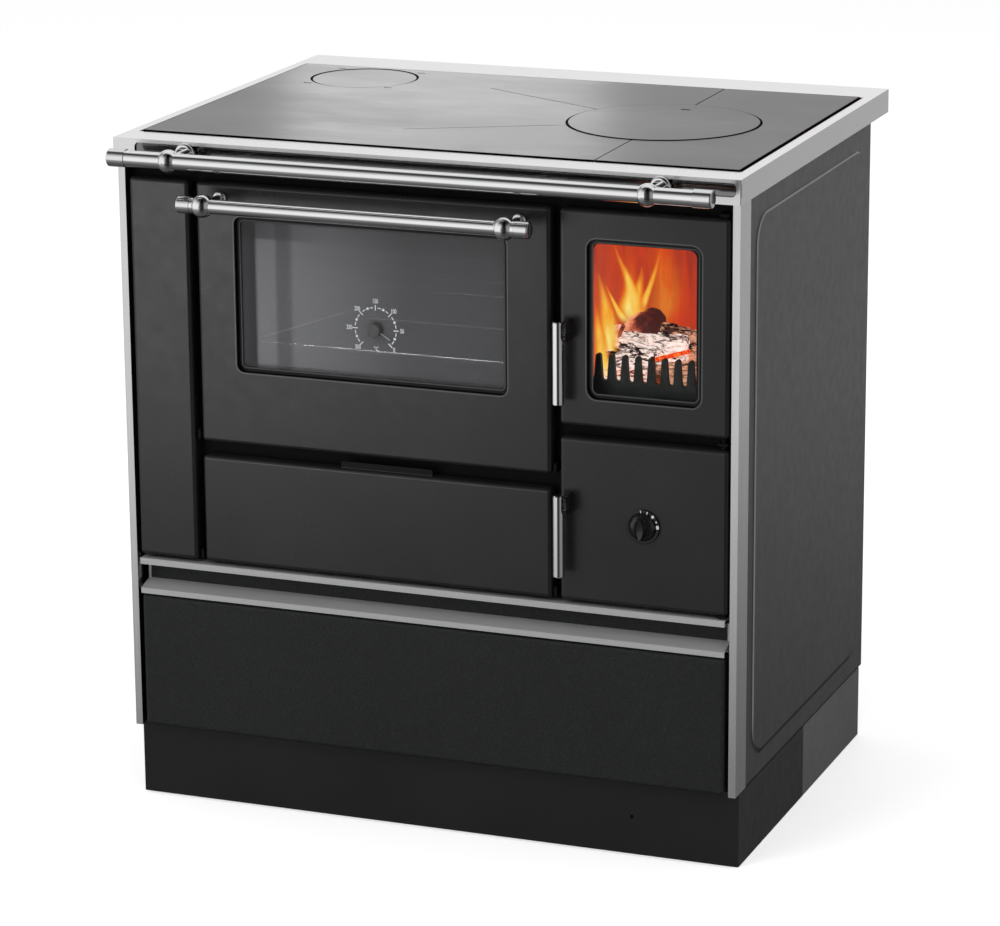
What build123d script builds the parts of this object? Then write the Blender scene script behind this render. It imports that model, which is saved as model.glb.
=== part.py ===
"""Wood-fired kitchen range: a cast hob over a firebox, an oven, a warming compartment and a wood drawer.

Millimetres. X runs to the viewer's right, Y to the back and Z up. While the pieces are built,
Y is 0 at the front of the hob frame and X is 0 on the centre plane. save() then moves each
piece so that the origin is at the bottom centre of the whole range.
"""
from build123d import *
import math
import os

# ---------------------------------------------------------------- driving dimensions
# Overall size, measured over the stainless hob frame, and the sheet used nearly everywhere.
WIDTH = 800.0
DEPTH = 620.0
HEIGHT = 850.0
SHEET = 2.0
RUNNING_FIT = 0.05          # radial play of a pin or shaft in its hole
SLIDING_GAP = 0.3           # play between flat faces that move past each other

# Body, under the hob frame.
FRAME_HEIGHT = 30.0
FRAME_SIDE_OVERHANG = 2.5
FRAME_FRONT_OVERHANG = 7.0
FRAME_BACK_OVERHANG = 66.0
PLINTH_HEIGHT = 93.0
PLINTH_FRONT_SETBACK = 18.0
PLINTH_BACK_SETBACK = 14.0
PLINTH_SIDE_SETBACK = 1.0
PLINTH_SEAM = 264.0         # from the plinth's front face to the joint in its side
PLINTH_JOINT = 0.8
PLINTH_HOLE = (260.0, 48.0)
PLINTH_HOLE_RADIUS = 2.5

# Corner posts and side panels.
POST_FACE = 9.0
POST_SIDE = 40.0
FIELD_INSET = 28.0          # raised field of a side panel, from the panel's visible edges
FIELD_RADIUS = 38.0
FIELD_RAISE = 2.0
RETURN_FLANGE = 14.0

# Front plate, doors and their gaps.
FRONT_PLATE_SETBACK = 18.0  # from the posts' front
FRONT_PLATE_SHEET = 3.0
DOOR_PROUD = 2.0            # doors stand this far in front of the posts
DOOR_DEPTH = 16.0
DOOR_SHEET = 2.5
DOOR_EDGE_RADIUS = 5.0
DOOR_CORNER_RADIUS = 5.0
DOOR_TOP_GAP = 19.0
LEFT_POST_GAP = 5.5
RIGHT_POST_GAP = 2.5
FILLER_WIDTH = 79.0
FILLER_GAP = 10.5
COLUMN_GAP = 11.0
FIRE_DOOR_WIDTH = 210.5
FIRE_DOOR_HEIGHT = 262.0
FIRE_ASH_GAP = 14.5
OVEN_DOOR_HEIGHT = 325.0
OVEN_FLAP_GAP = 18.0
DRAWER_DOOR_GAP = 5.0

# Windows: margins left, right, bottom and top from the edges of their door.
OVEN_WINDOW_MARGINS = (49.5, 55.0, 91.5, 39.5)
FIRE_WINDOW_MARGINS = (34.0, 34.0, 34.0, 34.0)
OVEN_WINDOW_RADIUS = 10.0
FIRE_WINDOW_RADIUS = 13.0
BEZEL_WIDTH = 6.0           # how far the inner frame shows inside the window opening
BEZEL_SETBACK = 6.0         # from the door's face
GLASS = 4.0
GLASS_OVERLAP = 8.0
GLASS_PLAY = 0.5
INNER_PANE_MARGINS = (24.0, 10.0, 14.0, 36.0)
SEAL_WIDTH = 8.0
SEAL_INSET = 6.0

# Hinge pins and the ears that carry them.
PIN_RADIUS = 3.0
PIN_OVERLAP = 12.0
HINGE_INSET = 8.0           # from the door's edge to the hinge axis
EAR_SHEET = 3.0
EAR_GAP = 3.0

# Hob: plate, ring lid, flue blanking plate and their grooves.
HOB_SHEET = 8.0
HOB_PROUD = 1.5             # above the frame's top face
HOB_GAP = 3.0
HOB_LEDGE = 10.0
FRAME_SKIRT = 2.0
FRAME_FRONT_SKIRT = 5.0
FRAME_TOP_SHEET = 3.0
FRAME_BAND_FRONT = 45.0
FRAME_BAND_SIDE = 13.5
FRAME_BAND_BACK = 71.0
FRAME_RECESS = (16.5, 3.0, 5.5)      # height, depth and end radius of the groove in the frame's front
FRAME_RECESS_ENDS = (29.0, 6.0)      # plain metal left and right of it
FRAME_RECESS_DROP = 4.5
LID_STEP = 6.0
LID_PLAY = 1.0
LID_PROUD = 0.8
COVER_PLAY = 1.4
COVER_SUNK = 0.5
RING_LID_IN = 196.0                  # its centre from the frame's right side
RING_LID = (WIDTH / 2 - RING_LID_IN, 301.0, 120.0)      # x, y, radius
RING_SLOT = (84.0, 13.0, 5.0, 4.0)   # distance from the lid's centre, length, width, depth
FLUE_COVER_IN = (134.0, 152.0)       # its centre from the frame's left side and back
FLUE_COVER = (-WIDTH / 2 + FLUE_COVER_IN[0], DEPTH - FLUE_COVER_IN[1], 70.0)
COVER_SLOT = (80.0, 12.0, 3.0, 2.0)
GROOVE = (1.6, 3.0)                  # width and depth of the expansion grooves
GROOVE_REACH = 322.0
GROOVE_ANGLES = (152.5, 207.0)
RING_LIFT = 60.0

# Guard rail in front of the hob frame.
RAIL_RADIUS = 10.0
RAIL_WALL = 1.5
RAIL_END_INSET = 18.0                # from the frame's sides
RAIL_POST_INSET = 97.0
RAIL_LENGTH = WIDTH - 2 * RAIL_END_INSET
RAIL_POST_SPACING = WIDTH - 2 * RAIL_POST_INSET
RAIL_STANDOFF = 47.0
RAIL_CAP = (11.0, 23.0, 4.0)         # radius, length, end thickness
RAIL_BALL_RADIUS = 14.0
RAIL_DOME = (13.5, 5.0)
RAIL_NECK_RADIUS = 6.0

# Oven handle.
HANDLE_RADIUS = 8.75
HANDLE_SHORTER = 7.0                 # than the oven door's width
HANDLE_POST_INSET = 32.0             # from an end of the bar
HANDLE_STANDOFF = 50.0
HANDLE_DROP = 18.0
HANDLE_CAP = (10.4, 17.5, 4.0)
HANDLE_BALL_RADIUS = 14.2
HANDLE_COLLAR = (9.9, 14.0)         # radius, reach outwards from the ball's centre
HANDLE_DOME = (9.0, 5.0)
HANDLE_NECK_RADIUS = 5.0

# Oven thermometer.
DIAL_OFFSET = (4.5, -30.5)           # from the centre of the oven window
DIAL_HUB = (8.5, 9.0)                # radius, how far it stands in front of the glass
POINTER = (22.0, 1.2, 0.8)           # length, width, thickness
POINTER_ANGLE = -33.0                # at rest, from +X towards +Z
DIAL_BACK = 1.4                      # nut behind the glass

# Latches of the fire and ash doors.
LATCH_ROD_RADIUS = 7.0
LATCH_ROD_LENGTH = 101.0
LATCH_INSET = 5.0                    # rod axis from the fire door's left edge
LATCH_STANDOFF = 18.0
LATCH_PIVOT_DROP = 11.5
LATCH_PIN_RADIUS = 3.0
LATCH_BRACKET = (4.5, 25.5, 23.5)    # width, height, depth
LATCH_NOSE = (7.0, 1.2)              # rounding of its front corners, of its right-hand edges
LATCH_FIRE_ABOVE = 29.0              # rod's lower end above the fire door's lower edge
LATCH_ASH_ABOVE = 34.0

# Air control on the ash door.
KNOB_BEZEL = (21.0, 17.0, 3.0)       # outer radius, inner radius, height
KNOB = (16.5, 7.0, 4.0)              # disc radius, thickness, shaft radius
KNOB_GRIP = (8.0, 30.0, 13.0)        # width, length, height
AIR_DISC = (30.0, 2.0)
AIR_HOLE = (17.0, 9.0, 2)            # pitch radius, hole radius, number

# Lower flap.
FLAP_TAB = (-110.0, 10.0, 8.0, 1.5)  # left and right end, height, sheet

# Wood drawer and its grip profile.
DRAWER_FRONT_HEIGHT = 172.0
DRAWER_SIDE_GAP = 5.5
DRAWER_BOTTOM_GAP = 2.0
GRIP_GAP = 2.0
GRIP_HEIGHT = 46.0
GRIP_STRIP = 8.0
GRIP_LIP = 7.0
GRIP_SLOPE = 7.0
GRIP_DEPTH = 23.0
GRIP_WALL = 1.6
GRIP_SETBACK = 4.0                   # from the hob frame's front
DRAWER_SIDE_ROOM = 22.2              # between a runner and the side panel
DRAWER_BOX_HEIGHT = 158.0
DRAWER_BOX_DEPTH = 490.0
DRAWER_FLOOR_GAP = 6.0
DRAWER_SHEET = 1.5
DRAWER_TRAVEL = 400.0
RUNNER_FLANGE = 8.0
RUNNER_HEIGHT = 110.0
RUNNER_FOOT = 26.0

# Firebox, grate and bricks.
FIRE_OPENING_INSET = (27.0, 27.0, 22.0, 27.0)
ASH_OPENING_INSET = (27.0, 27.0, 27.0, 27.0)
CHAMBER_MARGIN = 6.0
BRICK = 22.0
FIREBOX_DEPTH = 400.0
SHELF_BELOW_DOOR = 16.0              # grate shelf, under the fire door's lower edge
SHELF_SHEET = 3.0
BRICK_TOP_GAP = 60.0
FIREBOX_TOP_GAP = 4.0
GRATE = (140.0, 190.0, 12.0)
GRATE_SLOT = (8.0, 16.0)             # width and pitch
GRATE_RIM = 14.0
GRATE_SEAT = 8.0
GUARD = (6.0, 71.0, 29.0)            # thickness, height of the plate, height of the fingers
GUARD_FINGER = (10.5, 6.5, 16.5, 9)  # root, tip, pitch, number
GUARD_GAP = 3.0

# Oven, rack and lower compartment.
OVEN_OPENING_INSET = (24.0, 24.0, 24.0, 24.0)
OVEN_DEPTH = 462.0
FLAP_OPENING_INSET = (20.0, 20.0, 20.0, 20.0)
LOWER_DEPTH = 462.0
RACK_ABOVE_FLOOR = 93.0
RACK_BAR_RADIUS = 2.75
RACK_WIRE_RADIUS = 2.0
RACK_WIRE_PITCH = 21.5
RACK_DEPTH = 400.0
RACK_CROSS_BARS = (0.0, 0.4, 0.81, 1.0)           # share of the depth, behind the front bar
RACK_FRONT_GAP = 30.0
RACK_LEDGE = (10.0, 2.0)

# Ash pan.
ASH_PAN_SIDE_GAP = 8.0
ASH_PAN_HEIGHT = 62.0
ASH_PAN_DEPTH = 360.0
ASH_PAN_SHEET = 1.5
ASH_PAN_FRONT_GAP = 14.0

# Start-up damper under the hob frame.
DAMPER = (14.0, 104.0, 3.0)          # left and right edge, thickness
DAMPER_BELOW_FRAME = 5.0
DAMPER_LENGTH = 260.0
DAMPER_OUT = 12.0                    # pull tab in front of the front plate
DAMPER_TRAVEL = 60.0

# Rear flue connection.
SPIGOT_RADIUS = 60.0
SPIGOT_WALL = 2.0
SPIGOT_LENGTH = 55.0
SPIGOT_FLANGE = (75.0, 3.0)
SPIGOT_BELOW_TOP = 90.0

# Levelling feet.
FOOT = (20.0, 10.0, 5.0)             # pad radius, pad height, stem radius
FOOT_INSET = 60.0

# ---------------------------------------------------------------- levels and faces that follow
BODY_HALF = WIDTH / 2 - FRAME_SIDE_OVERHANG
BODY_FRONT = FRAME_FRONT_OVERHANG
BODY_BACK = DEPTH - FRAME_BACK_OVERHANG
BODY_TOP = HEIGHT - FRAME_HEIGHT
BODY_BOTTOM = PLINTH_HEIGHT + SHEET
PANEL_FACE = BODY_HALF - SHEET                       # outer face of a side panel
POST_INNER = BODY_HALF - POST_FACE
PLATE_FRONT = BODY_FRONT + FRONT_PLATE_SETBACK
PLATE_BACK = PLATE_FRONT + FRONT_PLATE_SHEET
DOOR_FRONT = BODY_FRONT - DOOR_PROUD
DOOR_BACK = DOOR_FRONT + DOOR_DEPTH
HINGE_Y = DOOR_FRONT + HINGE_INSET
DOOR_TOP = BODY_TOP - DOOR_TOP_GAP
DRAWER_BOTTOM = BODY_BOTTOM + DRAWER_BOTTOM_GAP
DRAWER_PANEL_TOP = DRAWER_BOTTOM + DRAWER_FRONT_HEIGHT
GRIP_BOTTOM = DRAWER_PANEL_TOP + GRIP_GAP
GRIP_TOP = GRIP_BOTTOM + GRIP_HEIGHT
DOORS_BOTTOM = GRIP_TOP + DRAWER_DOOR_GAP
PLATE_BOTTOM = GRIP_TOP + SLIDING_GAP
DRAWER_BOX_HALF = PANEL_FACE - SHEET - DRAWER_SIDE_ROOM - RUNNER_FOOT - SLIDING_GAP

FILLER_X = (-POST_INNER + LEFT_POST_GAP, -POST_INNER + LEFT_POST_GAP + FILLER_WIDTH)
FIRE_X = (POST_INNER - RIGHT_POST_GAP - FIRE_DOOR_WIDTH, POST_INNER - RIGHT_POST_GAP)
OVEN_X = (FILLER_X[1] + FILLER_GAP, FIRE_X[0] - COLUMN_GAP)
FIRE_Z = (DOOR_TOP - FIRE_DOOR_HEIGHT, DOOR_TOP)
ASH_Z = (DOORS_BOTTOM, FIRE_Z[0] - FIRE_ASH_GAP)
OVEN_Z = (DOOR_TOP - OVEN_DOOR_HEIGHT, DOOR_TOP)
FLAP_Z = (DOORS_BOTTOM, OVEN_Z[0] - OVEN_FLAP_GAP)


def inset(x, z, margins):
    """The rectangle that is left inside x and z after the margins left, right, bottom and top."""
    left, right, bottom, top = margins
    return (x[0] + left, x[1] - right), (z[0] + bottom, z[1] - top)


def grown(span, amount):
    return (span[0] - amount, span[1] + amount)


def middle(span):
    return (span[0] + span[1]) / 2


OVEN_WINDOW = inset(OVEN_X, OVEN_Z, OVEN_WINDOW_MARGINS)
FIRE_WINDOW = inset(FIRE_X, FIRE_Z, FIRE_WINDOW_MARGINS)
OVEN_OPENING = inset(OVEN_X, OVEN_Z, OVEN_OPENING_INSET)
FLAP_OPENING = inset(OVEN_X, FLAP_Z, FLAP_OPENING_INSET)
FIRE_OPENING = inset(FIRE_X, FIRE_Z, FIRE_OPENING_INSET)
ASH_OPENING = inset(FIRE_X, ASH_Z, ASH_OPENING_INSET)

HOB_TOP = HEIGHT + HOB_PROUD
HOB_BOTTOM = HOB_TOP - HOB_SHEET
HOB_CUTOUT_X = (-WIDTH / 2 + FRAME_BAND_SIDE, WIDTH / 2 - FRAME_BAND_SIDE)
HOB_CUTOUT_Y = (FRAME_BAND_FRONT, DEPTH - FRAME_BAND_BACK)
RAIL_Z = HEIGHT - FRAME_HEIGHT / 2
HANDLE_X = middle(OVEN_WINDOW[0])
HANDLE_LENGTH = OVEN_X[1] - OVEN_X[0] - HANDLE_SHORTER
HANDLE_POST_SPACING = HANDLE_LENGTH - 2 * HANDLE_POST_INSET
HANDLE_Y = DOOR_FRONT - HANDLE_STANDOFF
HANDLE_Z = DOOR_TOP - HANDLE_DROP
DIAL_X = middle(OVEN_WINDOW[0]) + DIAL_OFFSET[0]
DIAL_Z = middle(OVEN_WINDOW[1]) + DIAL_OFFSET[1]
GLASS_FRONT = DOOR_FRONT + BEZEL_SETBACK + SHEET
LATCH_X = FIRE_X[0] + LATCH_INSET
LATCH_Y = DOOR_FRONT - LATCH_STANDOFF
KNOB_X = middle(FIRE_X)
KNOB_Z = middle(ASH_Z)
CHAMBER_X = grown(FIRE_OPENING[0], CHAMBER_MARGIN)
FIREBOX_X = grown(CHAMBER_X, BRICK + SHEET)
FIREBOX_BACK = PLATE_BACK + FIREBOX_DEPTH + BRICK + SHEET
SHELF_TOP = FIRE_Z[0] - SHELF_BELOW_DOOR
FIREBOX_FLOOR = ASH_OPENING[1][0] - SHELF_BELOW_DOOR
SPIGOT_X = FLUE_COVER[0]
SPIGOT_Z = BODY_TOP - SPIGOT_BELOW_TOP
DRAWER_BACK_SHEET = GRIP_SETBACK + GRIP_DEPTH + GRIP_WALL

FRONT_REACH = RAIL_STANDOFF + RAIL_BALL_RADIUS       # the rail's balls are the foremost point
CENTRE_Y = (DEPTH - FRONT_REACH) / 2


# ---------------------------------------------------------------- shape helpers
def block(x, y, z):
    """A box between two values on each axis."""
    centre = Pos(middle(x), middle(y), middle(z))
    return centre * Box(x[1] - x[0], y[1] - y[0], z[1] - z[0])


def slab(x, y, z, radius):
    """A plate parallel to the front, with rounded corners as seen from the front."""
    back = Plane(origin=(middle(x), y[1], middle(z)), x_dir=(1, 0, 0), z_dir=(0, -1, 0))
    outline = back * RectangleRounded(x[1] - x[0], z[1] - z[0], radius)
    return extrude(outline, amount=y[1] - y[0])


def rod(start, axis, length, radius):
    """A round bar from start along +X, +Y or +Z."""
    plane = Plane(origin=start, z_dir=axis)
    return extrude(plane * Circle(radius), amount=length)


def ring(start, axis, length, outer, inner):
    return rod(start, axis, length, outer) - rod(start, axis, length, inner)


def lying_plate(outline, top, thickness):
    """A flat face drawn on XY, extruded down from the level top."""
    return extrude(Pos(0, 0, top - thickness) * outline, amount=thickness)


def at_centre(x, y):
    return Pos(x, y, 0)


def save(shape, name):
    shape = Pos(0, -CENTRE_Y, 0) * shape
    shape.label = name
    export_step(shape, f"parts/{name}.step")


def save_group(shapes, name):
    save(Compound(children=list(shapes)), name)


# ---------------------------------------------------------------- plinth and body
def plinth(front):
    """One of the two sheet wrappers of the plinth, with a flange that carries the base plate."""
    half = BODY_HALF - PLINTH_SIDE_SETBACK
    y_front = BODY_FRONT + PLINTH_FRONT_SETBACK
    y_back = BODY_BACK - PLINTH_BACK_SETBACK
    y_seam = y_front + PLINTH_SEAM
    y = (y_front, y_seam) if front else (y_seam + PLINTH_JOINT, y_back)
    walls = block((-half, half), y, (0, PLINTH_HEIGHT))
    core_y = (y[0] + SHEET, y[1] + SHEET) if front else (y[0] - SHEET, y[1] - SHEET)
    core = block((-half + SHEET, half - SHEET), core_y, (-SHEET, PLINTH_HEIGHT - SHEET))
    opening_y = (y[0] + RETURN_FLANGE, y[1] + SHEET) if front else (y[0] - SHEET, y[1] - RETURN_FLANGE)
    opening = block((-half + RETURN_FLANGE, half - RETURN_FLANGE), opening_y, (0, PLINTH_HEIGHT + SHEET))
    shape = walls - core - opening
    if front:
        x, z = PLINTH_HOLE
        shape -= rod((x, y_front - SHEET, z), (0, 1, 0), 3 * SHEET, PLINTH_HOLE_RADIUS)
    return shape


def levelling_feet():
    pad_radius, pad_height, stem_radius = FOOT
    x = BODY_HALF - FOOT_INSET
    feet = []
    for side in (-x, x):
        for y in (BODY_FRONT + PLINTH_FRONT_SETBACK + FOOT_INSET, BODY_BACK - PLINTH_BACK_SETBACK - FOOT_INSET):
            pad = rod((side, y, 0), (0, 0, 1), pad_height, pad_radius)
            pad = fillet(pad.edges().group_by(Axis.Z)[-1], pad_height / 4)
            feet.append(pad + rod((side, y, 0), (0, 0, 1), PLINTH_HEIGHT, stem_radius))
    return feet


def base_plate():
    return block((-PANEL_FACE, PANEL_FACE), (PLATE_FRONT, BODY_BACK), (PLINTH_HEIGHT, BODY_BOTTOM))


def corner_post(side):
    """Stainless angle with an inner return that meets the front plate."""
    z = (BODY_BOTTOM, BODY_TOP)
    face = block((POST_INNER, BODY_HALF), (BODY_FRONT, BODY_FRONT + SHEET), z)
    flank = block((PANEL_FACE, BODY_HALF), (BODY_FRONT, BODY_FRONT + POST_SIDE), z)
    inner = block((POST_INNER, POST_INNER + SHEET), (BODY_FRONT, PLATE_BACK), z)
    post = face + flank + inner
    return post if side > 0 else mirror(post, about=Plane.YZ)


def side_panel(side):
    """Pressed sheet with a raised field, a top flange for the hob frame and a lower flange."""
    z = (BODY_BOTTOM, BODY_TOP)
    inner_face = PANEL_FACE - SHEET
    visible_y = (BODY_FRONT + POST_SIDE, BODY_BACK)
    sheet = block((inner_face, PANEL_FACE), (PLATE_BACK, BODY_BACK), z)
    for level in ((z[0], z[0] + SHEET), (z[1] - SHEET, z[1])):
        sheet += block((PANEL_FACE - RETURN_FLANGE, PANEL_FACE), (PLATE_BACK, BODY_BACK), level)
    field_y = grown(visible_y, -FIELD_INSET)
    field_z = grown(z, -FIELD_INSET)
    outer = Plane(origin=(PANEL_FACE, middle(field_y), middle(field_z)), x_dir=(0, 1, 0), z_dir=(1, 0, 0))
    width = field_y[1] - field_y[0]
    height = field_z[1] - field_z[0]
    raised = extrude(outer * RectangleRounded(width, height, FIELD_RADIUS), amount=FIELD_RAISE)
    raised = chamfer(raised.edges().group_by(Axis.X)[-1], FIELD_RAISE * 0.95)
    pocket = outer.offset(-SHEET) * RectangleRounded(
        width - 4 * SHEET, height - 4 * SHEET, FIELD_RADIUS - 2 * SHEET)
    panel = sheet + raised - extrude(pocket, amount=FIELD_RAISE)
    return panel if side > 0 else mirror(panel, about=Plane.YZ)


def back_panel():
    sheet = block((-PANEL_FACE + SHEET, PANEL_FACE - SHEET), (BODY_BACK - SHEET, BODY_BACK),
                  (BODY_BOTTOM + SHEET, BODY_TOP - SHEET))
    hole = rod((SPIGOT_X, BODY_BACK - 2 * SHEET, SPIGOT_Z), (0, 1, 0), 4 * SHEET, SPIGOT_RADIUS - SPIGOT_WALL)
    return sheet - hole


def hinge_ear_x(x, z):
    """Ear across the X axis that holds a pin lying along X."""
    y = (HINGE_Y - PIN_RADIUS - EAR_GAP, PLATE_FRONT)
    ear = block(x, y, (z - PIN_RADIUS - EAR_GAP, z + PIN_RADIUS + EAR_GAP))
    return ear - rod((x[0], HINGE_Y, z), (1, 0, 0), x[1] - x[0], PIN_RADIUS)


def hinge_ear_z(x, z):
    """Ear across the Z axis that holds an upright pin."""
    y = (HINGE_Y - PIN_RADIUS - EAR_GAP, PLATE_FRONT)
    ear = block((x - PIN_RADIUS - EAR_GAP, x + PIN_RADIUS + EAR_GAP), y, z)
    return ear - rod((x, HINGE_Y, z[0]), (0, 0, 1), z[1] - z[0], PIN_RADIUS)


OVEN_HINGE_Z = OVEN_Z[0] + HINGE_INSET
FLAP_HINGE_Z = FLAP_Z[0] + HINGE_INSET
SIDE_HINGE_X = FIRE_X[1] - HINGE_INSET
LEFT_EAR_X = (OVEN_X[0] - EAR_GAP - EAR_SHEET, OVEN_X[0] - EAR_GAP)
RIGHT_EAR_X = (OVEN_X[1] + EAR_GAP, OVEN_X[1] + EAR_GAP + EAR_SHEET)
TOP_EAR_Z = (FIRE_Z[1] + EAR_GAP, FIRE_Z[1] + EAR_GAP + EAR_SHEET)
MIDDLE_EAR_Z = (middle((ASH_Z[1], FIRE_Z[0])) - EAR_SHEET / 2, middle((ASH_Z[1], FIRE_Z[0])) + EAR_SHEET / 2)
BOTTOM_EAR_Z = (ASH_Z[0] - SLIDING_GAP - EAR_SHEET, ASH_Z[0] - SLIDING_GAP)


def damper_span():
    top = BODY_TOP - DAMPER_BELOW_FRAME
    return (DAMPER[0], DAMPER[1]), (top - DAMPER[2], top)


def front_plate():
    """Steel front with the openings of the four compartments, the damper slot and the hinge ears."""
    plate = block((-POST_INNER, POST_INNER), (PLATE_FRONT, PLATE_BACK), (PLATE_BOTTOM, BODY_TOP))
    through = (PLATE_FRONT - SHEET, PLATE_BACK + SHEET)
    for x, z in (OVEN_OPENING, FLAP_OPENING, FIRE_OPENING, ASH_OPENING):
        plate -= slab(x, through, z, DOOR_CORNER_RADIUS)
    x, z = damper_span()
    plate -= block(grown(x, SLIDING_GAP), through, grown(z, SLIDING_GAP))
    for z in (OVEN_HINGE_Z, FLAP_HINGE_Z):
        for x in (LEFT_EAR_X, RIGHT_EAR_X):
            plate += hinge_ear_x(x, z)
    for z in (TOP_EAR_Z, MIDDLE_EAR_Z, BOTTOM_EAR_Z):
        plate += hinge_ear_z(SIDE_HINGE_X, z)
    return plate


def hinge_pins():
    """Seven pins: two each for the oven door and the flap, three in line for the fire and ash doors."""
    pins = []
    for z in (OVEN_HINGE_Z, FLAP_HINGE_Z):
        pins.append(rod((LEFT_EAR_X[0], HINGE_Y, z), (1, 0, 0), EAR_SHEET + EAR_GAP + PIN_OVERLAP, PIN_RADIUS))
        pins.append(rod((RIGHT_EAR_X[1], HINGE_Y, z), (-1, 0, 0), EAR_SHEET + EAR_GAP + PIN_OVERLAP, PIN_RADIUS))
    low = FIRE_Z[1] - PIN_OVERLAP
    pins.append(rod((SIDE_HINGE_X, HINGE_Y, low), (0, 0, 1), TOP_EAR_Z[1] - low, PIN_RADIUS))
    low = ASH_Z[1] - PIN_OVERLAP
    pins.append(rod((SIDE_HINGE_X, HINGE_Y, low), (0, 0, 1), FIRE_Z[0] + PIN_OVERLAP - low, PIN_RADIUS))
    low = BOTTOM_EAR_Z[0]
    pins.append(rod((SIDE_HINGE_X, HINGE_Y, low), (0, 0, 1), ASH_Z[0] + PIN_OVERLAP - low, PIN_RADIUS))
    return pins


# ---------------------------------------------------------------- hob
def hob_frame():
    """Stainless channel, open below, round the hob plate, with a groove along its front."""
    outer = block((-WIDTH / 2, WIDTH / 2), (0, DEPTH), (BODY_TOP, HEIGHT))
    outer = fillet(outer.edges().filter_by(Axis.Z), FRAME_SKIRT / 2)
    lip_x = grown(HOB_CUTOUT_X, FRAME_SKIRT)
    lip_y = grown(HOB_CUTOUT_Y, FRAME_SKIRT)
    z = (BODY_TOP - 1, HEIGHT - FRAME_TOP_SHEET)
    channel = block((-WIDTH / 2 + FRAME_SKIRT, WIDTH / 2 - FRAME_SKIRT), (FRAME_FRONT_SKIRT, DEPTH - FRAME_SKIRT), z)
    channel -= block(lip_x, lip_y, z)
    through = (BODY_TOP - 1, HEIGHT + 1)
    frame = outer - channel - block(HOB_CUTOUT_X, HOB_CUTOUT_Y, through)
    ledge_z = (HOB_BOTTOM - SHEET, HOB_BOTTOM)
    frame += block(HOB_CUTOUT_X, HOB_CUTOUT_Y, ledge_z) - block(
        grown(HOB_CUTOUT_X, -HOB_LEDGE), grown(HOB_CUTOUT_Y, -HOB_LEDGE), ledge_z)
    height, depth, radius = FRAME_RECESS
    recess_x = (-WIDTH / 2 + FRAME_RECESS_ENDS[0], WIDTH / 2 - FRAME_RECESS_ENDS[1])
    recess_z = (HEIGHT - FRAME_RECESS_DROP - height, HEIGHT - FRAME_RECESS_DROP)
    return frame - slab(recess_x, (-1, depth), recess_z, radius)


def stepped_disc(cover, play, proud=0.0):
    """A loose cover: a disc whose lower half is narrower, so that it hangs in its hole."""
    x, y, radius = cover
    centre = at_centre(x, y)
    half = HOB_SHEET / 2
    upper = lying_plate(centre * Circle(radius - play), HOB_TOP + proud, half + proud)
    lower = lying_plate(centre * Circle(radius - LID_STEP - play), HOB_TOP - half, half)
    return upper + lower


def groove(start, end):
    width, depth = GROOVE
    length = math.dist(start, end)
    angle = math.degrees(math.atan2(end[1] - start[1], end[0] - start[0]))
    centre = Pos(middle((start[0], end[0])), middle((start[1], end[1])), 0) * Rot(0, 0, angle)
    return lying_plate(centre * Rectangle(length, width), HOB_TOP, depth)


def lifting_slot(x, y, distance, angle, size, top=HOB_TOP):
    """A shallow slot along X, at a distance and angle from x and y."""
    length, width, depth = size
    turn = math.radians(angle)
    place = Pos(x + distance * math.cos(turn), y + distance * math.sin(turn), 0)
    return lying_plate(place * SlotOverall(length, width), top, depth)


def hob_plate():
    plate_x = grown(HOB_CUTOUT_X, -HOB_GAP)
    plate_y = grown(HOB_CUTOUT_Y, -HOB_GAP)
    outline = Pos(middle(plate_x), middle(plate_y), 0) * RectangleRounded(
        plate_x[1] - plate_x[0], plate_y[1] - plate_y[0], HOB_GAP)
    plate = lying_plate(outline, HOB_TOP, HOB_SHEET)
    plate = fillet(plate.edges().group_by(Axis.Z)[-1], 0.8)
    plate -= stepped_disc(RING_LID, 0) + stepped_disc(FLUE_COVER, 0)
    x, y, radius = RING_LID
    plate -= groove((x, y + radius - 1), (x, plate_y[1] + 1))
    plate -= groove((x, y - radius + 1), (x, plate_y[0] - 1))
    for angle in GROOVE_ANGLES:
        turn = math.radians(angle)
        across = (math.cos(turn), math.sin(turn))
        near = (x + (radius - 1) * across[0], y + (radius - 1) * across[1])
        far = (x + GROOVE_REACH * across[0], y + GROOVE_REACH * across[1])
        plate -= groove(near, far)
    for angle in (45, 135, 225, 315):
        plate -= lifting_slot(FLUE_COVER[0], FLUE_COVER[1], COVER_SLOT[0], angle, COVER_SLOT[1:])
    return plate


def ring_lid():
    lid = stepped_disc(RING_LID, LID_PLAY, LID_PROUD)
    lid -= lifting_slot(RING_LID[0], RING_LID[1], RING_SLOT[0], 90, RING_SLOT[1:], HOB_TOP + LID_PROUD)
    return fillet(lid.edges().group_by(Axis.Z)[-1].filter_by(GeomType.CIRCLE).sort_by(Edge.length)[-1], 0.6)


# ---------------------------------------------------------------- rail and handle
def dome(x, y, z, radius, height):
    """A shallow round boss on a face at y, pointing to the front."""
    base = rod((x, y, z), (0, -1, 0), height, radius)
    return fillet(base.edges().group_by(Axis.Y)[0], min(height, radius) * 0.8)


def ball_post(x, face_y, axis_y, z, size, collar=None):
    """Boss, neck and ball, with its collar if it has one, and a hole along X through both for the rod."""
    ball_radius, dome_size, neck_radius, bore = size
    post = dome(x, face_y, z, *dome_size) + rod((x, face_y, z), (0, -1, 0), face_y - axis_y, neck_radius)
    post += Pos(x, axis_y, z) * Rot(0, 0, -90) * Sphere(ball_radius)      # its seam is at the front
    if collar is not None:
        post += collar
    return post - rod((x - 2 * ball_radius, axis_y, z), (1, 0, 0), 4 * ball_radius, bore)


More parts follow.
